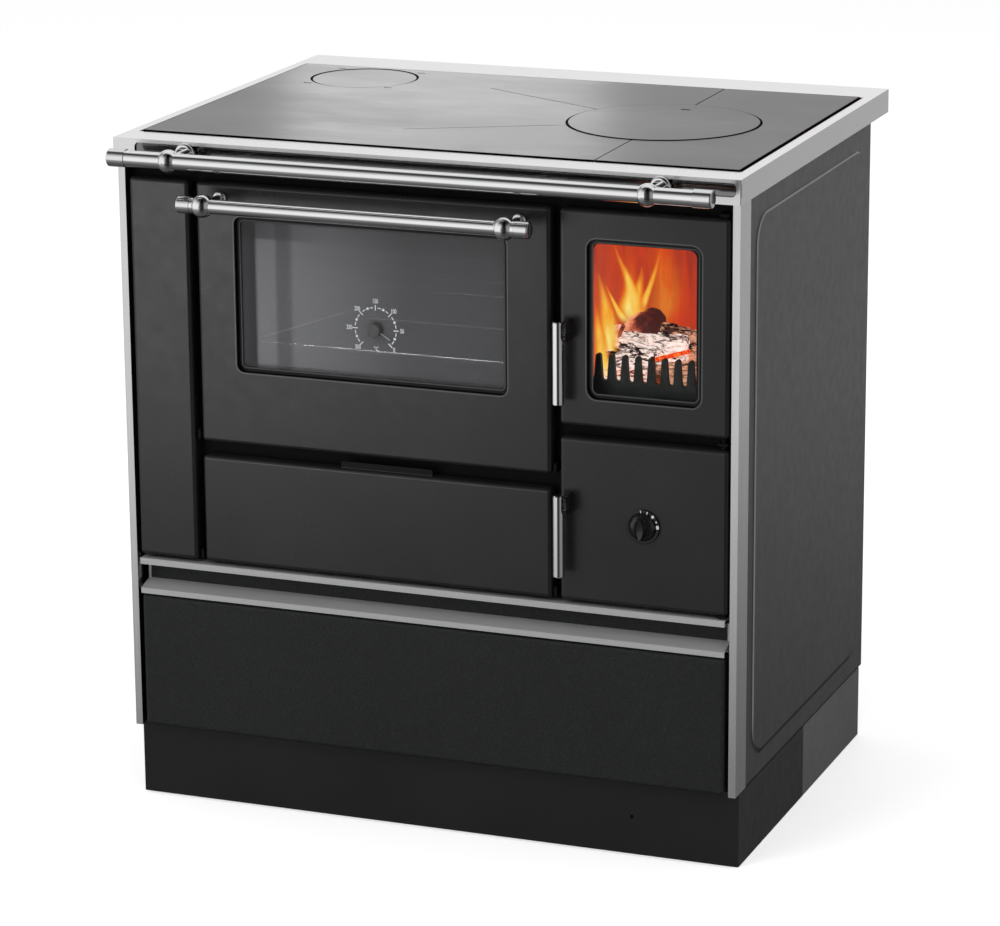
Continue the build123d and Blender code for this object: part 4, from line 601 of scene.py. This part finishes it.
def pick(piece, test, kind="FACE"):
    """Selects the faces or vertices whose place and normal pass the test, and stays in edit mode."""
    bpy.ops.object.mode_set(mode="EDIT")
    bpy.ops.mesh.select_mode(type=kind)
    bpy.ops.mesh.select_all(action="DESELECT")
    bpy.ops.object.mode_set(mode="OBJECT")
    mesh = piece.data
    if kind == "FACE":
        for face in mesh.polygons:
            face.select = test(face.center, face.normal)
    else:
        for vertex in mesh.vertices:
            vertex.select = test(vertex.co, vertex.normal)
    bpy.ops.object.mode_set(mode="EDIT")


def modify(piece, kind, **settings):
    select_only(piece)
    modifier = piece.modifiers.new(kind.lower(), kind)
    for key, value in settings.items():
        setattr(modifier, key, value)
    bpy.ops.object.modifier_apply(modifier=modifier.name)
    return piece


def roughen(piece, name, scale, depth, strength):
    """Pushes the surface in and out by cloudy noise."""
    clouds = bpy.data.textures.new(name, "CLOUDS")
    clouds.noise_scale, clouds.noise_depth = scale, depth
    modify(piece, "DISPLACE", texture=clouds, texture_coords="LOCAL", strength=strength, mid_level=0.5)


def joined(name, pieces):
    clear_selection()
    for piece in pieces:
        piece.select_set(True)
    bpy.context.view_layer.objects.active = pieces[0]
    bpy.ops.object.join()
    piece = bpy.context.object
    piece.name = piece.data.name = name
    return settle(piece)


def dress(piece, finish, body, smooth=None):
    piece.data.materials.clear()
    piece.data.materials.append(finish)
    if smooth is not None:
        select_only(piece)
        bpy.ops.object.shade_smooth_by_angle(angle=math.radians(smooth))
    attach(piece, body)
    return piece


def facing_front(turn=0.0):
    """Rotation of a flat shape that makes it face -Y, turned counter-clockwise as seen from the front."""
    return (Matrix.Rotation(-math.radians(turn), 4, "Y") @ Matrix.Rotation(math.radians(90), 4, "X")).to_euler()


def front_bar(x, y, z, length, width, turn):
    clear_selection()
    bpy.ops.mesh.primitive_plane_add(size=1.0, location=(x, y, z), rotation=facing_front(turn))
    bar = bpy.context.object
    bar.scale = (length, width, 1.0)
    return settle(bar)


def front_dot(x, y, z, radius):
    clear_selection()
    bpy.ops.mesh.primitive_circle_add(
        vertices=20, radius=radius, fill_type="NGON", location=(x, y, z), rotation=facing_front())
    return settle(bpy.context.object)


def front_figure(words, x, y, z, size, narrow):
    clear_selection()
    bpy.ops.object.text_add(location=(x, y, z), rotation=facing_front())
    figure = bpy.context.object
    figure.data.body, figure.data.size, figure.data.offset = words, size, size * 0.018
    figure.data.align_x, figure.data.align_y, figure.data.resolution_u = "CENTER", "CENTER", 3
    bpy.ops.object.convert(target="MESH")
    figure = bpy.context.object
    figure.scale = (narrow, 1.0, 1.0)
    return settle(figure)


# ---------------------------------------------------------------- printed scale of the oven thermometer
def oven_scale():
    """Ticks every 50 degrees from lower right round to lower left, dashes and dots between them, and plain figures."""
    tick_ring, slanted_figure_ring, straight_figure_ring = 0.0267, 0.0335, 0.0344
    marks = []

    def at(angle, distance):
        turn = math.radians(angle)
        return DIAL_X + distance * math.cos(turn), DIAL_Y, DIAL_Z + distance * math.sin(turn)

    for step in range(7):
        angle = -45 + 45 * step
        figure_ring = straight_figure_ring if step in (1, 3, 5) else slanted_figure_ring
        marks.append(front_bar(*at(angle, tick_ring), 0.0068, 0.0012, angle))
        marks.append(front_figure(str(50 * step), *at(angle, figure_ring), 0.0078, 0.66))
        if step == 6:
            continue
        for offset in (11.0, 34.0):
            marks.append(front_bar(*at(angle + offset, tick_ring), 0.0011, 0.0044, angle + offset))
        marks.append(front_dot(*at(angle + 22.5, tick_ring), 0.00165))
    marks.append(front_figure("\u00b0C", DIAL_X + 0.0005, DIAL_Y, DIAL_Z - 0.0245, 0.0075, 0.75))
    scale = joined("oven_scale_print", marks)
    modify(scale, "SOLIDIFY", thickness=PRINT_THICKNESS, offset=-1.0)
    return dress(scale, print_white, "oven_door")


# ---------------------------------------------------------------- air control
def air_control():
    """Knob with a round skirt and an arched grip, and the marks on its bezel."""
    def turned(y, radius, depth, sides):
        clear_selection()
        bpy.ops.mesh.primitive_cylinder_add(
            vertices=sides, radius=radius, depth=depth, location=(KNOB_X, y, KNOB_Z), rotation=facing_front())
        return settle(bpy.context.object)

    def stretch(across, upright):
        bpy.ops.transform.resize(value=(across, 1.0, upright), center_override=(KNOB_X, 0.0, KNOB_Z))

    def front(centre, normal):
        return normal.y < -0.9

    skirt = turned(-0.2768, 0.0165, 0.004, 64)
    for drop, shrink in ((0.0022, 0.93), (0.0018, 0.86), (0.0012, 0.80)):
        pick(skirt, front)
        bpy.ops.mesh.extrude_region_move(TRANSFORM_OT_translate={"value": (0.0, -drop, 0.0)})
        stretch(shrink, shrink)
        bpy.ops.object.mode_set(mode="OBJECT")
    pick(skirt, lambda centre, normal: normal.y > 0.9)
    bpy.ops.mesh.inset(thickness=0.0125)
    bpy.ops.mesh.extrude_region_move(TRANSFORM_OT_translate={"value": (0.0, 0.016, 0.0)})
    bpy.ops.object.mode_set(mode="OBJECT")
    modify(skirt, "BEVEL", width=0.0006, segments=2, limit_method="ANGLE", angle_limit=math.radians(40))

    grip = turned(-0.2876, 0.0088, 0.012, 48)
    for side, upright in ((1.0, 1.70), (-1.0, 1.60)):
        pick(grip, lambda place, normal: side * (place.z - KNOB_Z) > 0.0001, "VERT")
        stretch(1.0, upright)
        bpy.ops.object.mode_set(mode="OBJECT")
    pick(grip, front)
    stretch(0.68, 0.90)
    bpy.ops.mesh.inset(thickness=0.0014)
    bpy.ops.transform.translate(value=(0.0, 0.0009, 0.0))
    bpy.ops.object.mode_set(mode="OBJECT")
    modify(grip, "BEVEL", width=0.0011, segments=3, limit_method="ANGLE", angle_limit=math.radians(35))
    knob = joined("turned_air_knob", [skirt, grip])
    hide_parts("air_knob")
    dress(knob, knob_black, "air_control", smooth=35)

    marks, ring, bezel_front = [], 0.0189, -0.27762
    for angle, length, width in (
            (97, 0.0030, 0.0011), (72, 0.0034, 0.0012), (47, 0.0036, 0.0030), (24, 0.0018, 0.0018),
            (4, 0.0034, 0.0042)):
        turn = math.radians(angle)
        x, z = KNOB_X + ring * math.cos(turn), KNOB_Z + ring * math.sin(turn)
        marks.append(front_bar(x, bezel_front, z, length, width, angle))
    marks = modify(joined("air_setting_marks", marks), "SOLIDIFY", thickness=PRINT_THICKNESS, offset=-1.0)
    dress(marks, print_white, "ash_door")
    # a thin black disc: the dark index dot above the knob
    index_dot = modify(front_dot(KNOB_X, -0.27458, KNOB_Z + 0.0258, 0.00125), "SOLIDIFY", thickness=0.0008, offset=-1.0)
    index_dot.name = index_dot.data.name = "knob_index_dot"
    dress(index_dot, knob_black, "ash_door")


# ---------------------------------------------------------------- sealing cord round the hob plate
def hob_seal():
    """A flat frame round the plate's edge, thickened and with its edges eased."""
    clear_selection()
    width, depth, middle_z, cord = 0.7724, 0.5034, 0.8478, 0.0022
    bpy.ops.mesh.primitive_plane_add(size=1.0, location=(0.0, HOB_Y, middle_z))
    seal = bpy.context.object
    seal.scale = (width, depth, 1.0)
    settle(seal)
    pick(seal, lambda centre, normal: True)
    bpy.ops.mesh.inset(thickness=cord)
    bpy.ops.mesh.delete(type="FACE")
    bpy.ops.object.mode_set(mode="OBJECT")
    modify(seal, "SOLIDIFY", thickness=0.0030, offset=0.0)
    modify(seal, "BEVEL", width=0.0008, segments=2, limit_method="ANGLE", angle_limit=math.radians(40))
    seal.name = seal.data.name = "hob_sealing_cord"
    dress(seal, twisted_cord, "range_body", smooth=40)


# ---------------------------------------------------------------- the fire
def split_log(name, start, end, radius, sides, seed, turn=0.0):
    """A split log: a few-sided billet with eased edges, knocked out of true."""
    start, end = Vector(start), Vector(end)
    along = end - start
    clear_selection()
    bpy.ops.mesh.primitive_cylinder_add(
        vertices=sides, radius=radius, depth=along.length, location=(start + end) / 2,
        rotation=(along.to_track_quat("Z", "Y").to_matrix() @ Matrix.Rotation(math.radians(turn), 3, "Z")).to_euler())
    log = settle(bpy.context.object)
    way = along.normalized()
    pick(log, lambda centre, normal: abs(normal.dot(way)) > 0.9)
    bpy.ops.mesh.inset(thickness=radius * 0.25)
    bpy.ops.object.mode_set(mode="OBJECT")
    pick(log, lambda centre, normal: abs(normal.dot(way)) < 0.5)
    bpy.ops.mesh.subdivide(number_cuts=5)
    bpy.ops.object.mode_set(mode="OBJECT")
    modify(log, "SUBSURF", levels=2, render_levels=2)
    roughen(log, name + "_knots", 0.030, 3, min(0.010, radius * 0.45))
    roughen(log, name + "_grain", 0.007 + 0.001 * seed, 2, min(0.0035, radius * 0.2))
    log.name = log.data.name = name
    return log


def flame(name, stations):
    """A thin curved tongue of fire: a grid whose rows are moved and narrowed to the stations, base to tip.

    A station is x, y, z and half the width there."""
    rows, aside = len(stations), 10.0       # each placed row waits aside, clear of the rows still to be picked
    clear_selection()
    bpy.ops.mesh.primitive_grid_add(
        x_subdivisions=8, y_subdivisions=rows - 1, size=1.0, calc_uvs=True, rotation=facing_front())
    tongue = settle(bpy.context.object)
    for row, (x, y, z, half) in enumerate(stations):
        level = -0.5 + row / (rows - 1)
        pick(tongue, lambda place, normal: abs(place.z - level) < 0.001 and abs(place.y) < 0.001, "VERT")
        bpy.ops.transform.resize(value=(2 * half, 1.0, 1.0), center_override=(0.0, 0.0, level))
        bpy.ops.transform.translate(value=(x, y - aside, z - level))
        bpy.ops.object.mode_set(mode="OBJECT")
    pick(tongue, lambda place, normal: True, "VERT")
    bpy.ops.transform.translate(value=(0.0, aside, 0.0))
    bpy.ops.object.mode_set(mode="OBJECT")
    modify(tongue, "SUBSURF", levels=2, render_levels=2)
    tongue.name = tongue.data.name = name
    return tongue


def fire():
    """Logs, the ember bed under them and the flames between them."""
    logs = (
        ("log_ash", (0.1990, -0.1760, 0.6070), (0.2950, -0.1600, 0.5990), 0.033, 7, 2, 25, ash_wood),
        ("log_right", (0.2500, -0.1420, 0.6230), (0.3400, -0.1250, 0.5980), 0.022, 6, 4, 40, burning_wood),
        ("log_top", (0.2380, -0.1750, 0.6300), (0.2400, -0.1250, 0.6320), 0.0225, 10, 3, 0, log_end),
        ("log_low_right", (0.2680, -0.2080, 0.5830), (0.3610, -0.1960, 0.5960), 0.021, 6, 1, 10, burning_wood),
        ("log_front", (0.2000, -0.2140, 0.5640), (0.2950, -0.2080, 0.5660), 0.026, 7, 5, 0, ash_wood),
        ("log_middle", (0.2020, -0.0850, 0.5660), (0.3300, -0.0600, 0.5640), 0.028, 7, 5, 0, burning_wood),
        ("log_back", (0.2050, 0.0550, 0.5620), (0.3200, 0.0850, 0.5600), 0.024, 6, 6, 15, burning_wood),
        ("log_splinter", (0.2143, -0.1900, 0.6160), (0.2256, -0.1880, 0.6450), 0.0028, 5, 1, 0, charred_wood),
        ("log_ember_line", (0.2650, -0.1990, 0.6070), (0.3120, -0.1960, 0.6215), 0.0026, 6, 2, 0, ember_line))
    for name, start, end, radius, sides, seed, turn, finish in logs:
        dress(split_log(name, start, end, radius, sides, seed, turn), finish, "range_body", smooth=50)

    clear_selection()
    bpy.ops.mesh.primitive_grid_add(
        x_subdivisions=40, y_subdivisions=90, size=1.0, location=(FIREBOX_X, -0.0500, 0.543))
    bed = bpy.context.object
    bed.scale = (0.162, 0.380, 1.0)
    settle(bed)
    roughen(bed, "ember_lumps", 0.018, 3, 0.022)
    modify(bed, "SOLIDIFY", thickness=0.004, offset=-1.0)
    bed.name = bed.data.name = "ember_bed"
    dress(bed, ember_glow, "range_body", smooth=60)

    tongues = (
        ("flame_tall", flame_light, (
            (0.2200, -0.150, 0.6330, 0.0150), (0.2178, -0.150, 0.6480, 0.0185), (0.2199, -0.150, 0.6619, 0.0180),
            (0.2223, -0.150, 0.6731, 0.0140), (0.2209, -0.150, 0.6839, 0.0100), (0.2166, -0.150, 0.6959, 0.0072),
            (0.2107, -0.150, 0.7077, 0.0052), (0.2047, -0.150, 0.7195, 0.0032), (0.2001, -0.150, 0.7328, 0.0014))),
        ("flame_middle", flame_light, (
            (0.2260, -0.147, 0.6350, 0.0150), (0.2240, -0.147, 0.6500, 0.0160), (0.2242, -0.147, 0.6632, 0.0140),
            (0.2281, -0.147, 0.6744, 0.0100), (0.2312, -0.147, 0.6856, 0.0068), (0.2336, -0.147, 0.6967, 0.0042),
            (0.2345, -0.147, 0.7090, 0.0014))),
        ("flame_thin_right", flame_light, (
            (0.2290, -0.144, 0.6450, 0.0110), (0.2330, -0.144, 0.6592, 0.0090), (0.2376, -0.144, 0.6693, 0.0066),
            (0.2418, -0.144, 0.6792, 0.0050), (0.2453, -0.144, 0.6890, 0.0046), (0.2488, -0.144, 0.7002, 0.0044),
            (0.2529, -0.144, 0.7127, 0.0034), (0.2555, -0.144, 0.7270, 0.0012))),
        ("flame_thin_left", flame_light, (
            (0.2300, -0.196, 0.6500, 0.0100), (0.2262, -0.197, 0.6580, 0.0085), (0.2205, -0.198, 0.6665, 0.0055),
            (0.2162, -0.199, 0.6760, 0.0038), (0.2110, -0.200, 0.6860, 0.0027), (0.2060, -0.200, 0.6975, 0.0012))),
        ("flame_left", flame_light, (
            (0.2100, -0.206, 0.5950, 0.0100), (0.2115, -0.205, 0.6101, 0.0145), (0.2125, -0.205, 0.6230, 0.0158),
            (0.2135, -0.205, 0.6360, 0.0165), (0.2128, -0.205, 0.6480, 0.0160), (0.2115, -0.205, 0.6600, 0.0140),
            (0.2090, -0.205, 0.6720, 0.0108), (0.2060, -0.205, 0.6850, 0.0078), (0.2022, -0.205, 0.6985, 0.0045),
            (0.1996, -0.205, 0.7090, 0.0018))),
        ("flame_low_left", flame_light, (
            (0.2120, -0.220, 0.5800, 0.0110), (0.2110, -0.220, 0.6000, 0.0130), (0.2090, -0.220, 0.6200, 0.0115),
            (0.2060, -0.220, 0.6400, 0.0085), (0.2035, -0.220, 0.6580, 0.0055), (0.2015, -0.220, 0.6750, 0.0022))),
        ("flame_haze_right", flame_haze, (
            (0.2400, -0.100, 0.6200, 0.0240), (0.2450, -0.100, 0.6450, 0.0320), (0.2500, -0.100, 0.6700, 0.0360),
            (0.2480, -0.100, 0.6950, 0.0330), (0.2440, -0.100, 0.7200, 0.0260), (0.2400, -0.100, 0.7500, 0.0150))),
        ("flame_haze_left", flame_haze, (
            (0.2120, -0.120, 0.6300, 0.0140), (0.2120, -0.120, 0.6550, 0.0150), (0.2110, -0.120, 0.6800, 0.0130),
            (0.2090, -0.120, 0.7050, 0.0110), (0.2070, -0.120, 0.7350, 0.0080))))
    for name, light, stations in tongues:
        dress(flame(name, stations), light, "range_body", smooth=60)


# ---------------------------------------------------------------- studio and camera
def ray_is(tree, *kinds):
    """1 for a ray of any of these kinds."""
    lights = tree.nodes.new("ShaderNodeLightPath")
    found = lights.outputs[kinds[0]]
    for kind in kinds[1:]:
        either = tree.nodes.new("ShaderNodeMath")
        either.operation = "MAXIMUM"
        tree.links.new(found, either.inputs[0])
        tree.links.new(lights.outputs[kind], either.inputs[1])
        found = either.outputs[0]
    return found


def studio_floor():
    """A pale floor that keeps the shadow; polished metal sees it dark close by and sees past it further out."""
    bpy.ops.mesh.primitive_plane_add(size=40.0, location=(0.0, 0.0, 0.0))
    floor = bpy.context.object
    floor.name = "studio_floor"
    pale = Finish("studio_floor", Roughness=0.95, Specular_IOR_Level=0.1, Emission_Color=(1.0, 1.0, 1.0))
    pale.set("Base Color", pale.blend(pale.noise(0.8, detail=2.0), even(0.90), even(0.92)))
    under = pale.near(pale.axis("X"), 0.0, 0.385, 0.395) * pale.near(pale.axis("Y"), -0.002, 0.25, 0.26)
    pale.set("Emission Strength", Value(pale, ray_is(pale.tree, "Is Camera Ray")) * (1.0 - under) * 0.46)
    away = pale.node("ShaderNodeVectorMath", {"operation": "LENGTH"}, (pale.place,), output="Value")
    near = pale.node("ShaderNodeEmission", inputs={"Strength": 0.10})
    far = pale.node("ShaderNodeBsdfTransparent")
    seen = pale.node("ShaderNodeMixShader", inputs={0: pale.spread(away, 0.35, 2.3, 0.25, 0.97), 1: near, 2: far})
    mixed = pale.node("ShaderNodeMixShader", inputs={
        0: Value(pale, ray_is(pale.tree, "Is Glossy Ray")), 1: Value(pale, pale.surface.outputs[0]), 2: seen})
    pale.tree.links.new(mixed.socket, pale.tree.nodes["Material Output"].inputs[0])
    floor.data.materials.append(pale.material)


class Surroundings(Finish):
    """The world behind the scene, built up node by node."""

    def __init__(self, name):
        self.world = bpy.data.worlds.new(name)
        self.world.use_nodes = True
        self.tree = self.world.node_tree
        self.tree.nodes.clear()
        self.place = self.node("ShaderNodeTexCoord", output="Generated")


def grey(stops):
    """Stops of a ramp from pairs of place and level."""
    return tuple((at, even(level)) for at, level in stops)


def studio_world():
    """White all round. Polished metal sees white at the front left, dark flats at the front right, a dark ceiling."""
    sky = Surroundings("studio")
    bpy.context.scene.world = sky.world
    x, y, z = (sky.axis(name) for name in "XYZ")
    around = sky.math("ARCTAN2", x, 0.0 - y) / (2 * math.pi) + 0.5
    walls = sky.ramp(around, grey((
        (0.0, 1.0), (0.125, 1.0), (0.167, 0.38), (0.236, 0.38), (0.275, 1.0), (0.455, 1.0), (0.490, 0.12),
        (0.530, 0.02), (0.590, 0.02), (0.615, 0.20), (0.640, 0.34), (0.915, 0.36), (0.945, 0.42), (0.985, 0.7),
        (1.0, 1.0))))
    levels = sky.ramp(z * 0.5 + 0.5, grey((
        (0.0, 0.05), (0.040, 0.05), (0.180, 0.27), (0.270, 0.32), (0.310, 0.44), (0.350, 0.78), (0.375, 0.92),
        (0.41, 0.97), (0.640, 0.94), (0.74, 0.75), (0.835, 0.40), (0.88, 0.14), (0.935, 0.05), (1.0, 0.05))))
    overhead = sky.spread(z, 0.62, 0.72, 0.0, 0.78) * sky.spread(y, -0.08, 0.14)
    mirrored = sky.blend(overhead, sky.blend(1.0, walls, levels, "MULTIPLY"), even(1.0), "ADD")
    colour = sky.blend(Value(sky, ray_is(sky.tree, "Is Glossy Ray")), even(1.0), mirrored)
    seen = Value(sky, ray_is(sky.tree, "Is Camera Ray", "Is Glossy Ray", "Is Transmission Ray"))
    strength = sky.spread(seen, 0.0, 1.0, 0.55, 1.0)
    light = sky.node("ShaderNodeBackground", inputs=(colour, strength))
    sky.tree.links.new(light.socket, sky.tree.nodes.new("ShaderNodeOutputWorld").inputs[0])


def lamp(name, place, goal, wide, high, power, only=(), mirrored=False):
    """A rectangular soft lamp, unseen in polished metal unless mirrored is set or it shines only on the pieces given."""
    bpy.ops.object.light_add(type="AREA", location=place)
    box = bpy.context.object
    box.name = name + "_lamp"
    box.data.shape, box.data.size, box.data.size_y, box.data.energy = "RECTANGLE", wide, high, power
    box.rotation_euler = (Vector(goal) - Vector(place)).to_track_quat("-Z", "Y").to_euler()
    box.visible_glossy = mirrored or bool(only)
    if only:
        box.visible_camera = False
        lit = bpy.data.collections.new(name + "_lit")
        for piece in only:
            lit.objects.link(bpy.data.objects[piece] if piece in bpy.data.objects else parts[piece])
        box.light_linking.receiver_collection = lit


def lamps():
    """Three soft lamps round the range, the light in its oven, and sheens for single pieces."""
    lamp("key", (-1.8, -3.0, 3.2), (0.0, 0.0, 0.4), 2.6, 2.6, 62.0)
    lamp("fill", (3.2, -1.6, 2.2), (0.0, 0.0, 0.4), 2.4, 2.4, 29.0)
    lamp("back", (0.3, 3.2, 3.4), (0.0, 0.0, 0.4), 2.4, 2.4, 22.0)
    lamp("oven", (-0.080, -0.225, 0.768), (-0.080, -0.10, 0.58), 0.37, 0.02, 0.60, mirrored=True)
    lamp("panel_sheen", (-1.15, -2.07, 0.47), (-0.35, -0.27, 0.75), 1.1, 0.9, 7.5, (
        "left_filler_panel", "oven_door_panel", "lower_flap_panel", "fire_door_panel", "ash_door_panel"))
    lamp("hob_sheen", (-0.58, 1.25, 1.10), (-0.10, 0.05, 0.85), 0.50, 0.60, 1.20, HOB_PLATES)
    lamp("knob_sheen", (-0.42, -1.39, 1.92), (0.28, -0.28, 0.42), 0.9, 0.5, 3.0, ("turned_air_knob",))


def camera():
    """The photograph's viewpoint: a long lens, slightly above and to the right."""
    azimuth, elevation, roll = (math.radians(value) for value in (21.2, 15.55, -0.41))
    level = math.cos(elevation)
    back = Vector((math.sin(azimuth) * level, -math.cos(azimuth) * level, math.sin(elevation)))
    right = Vector((0.0, 0.0, 1.0)).cross(back).normalized()
    up = back.cross(right)
    turned = right * math.cos(roll) + up * math.sin(roll)
    upright = up * math.cos(roll) - right * math.sin(roll)
    bpy.ops.object.camera_add(location=(1.770, -4.5815, 1.770))
    view = bpy.context.object
    view.rotation_euler = Matrix((turned, upright, back)).transposed().to_euler()
    view.data.sensor_width, view.data.lens = 36.0, 144.3
    view.data.clip_start, view.data.clip_end = 0.1, 60.0
    bpy.context.scene.camera = view


oven_scale()
air_control()
hob_seal()
fire()
clear_selection()
studio_floor()
studio_world()
lamps()
camera()
bpy.context.scene.view_settings.view_transform = "Standard"
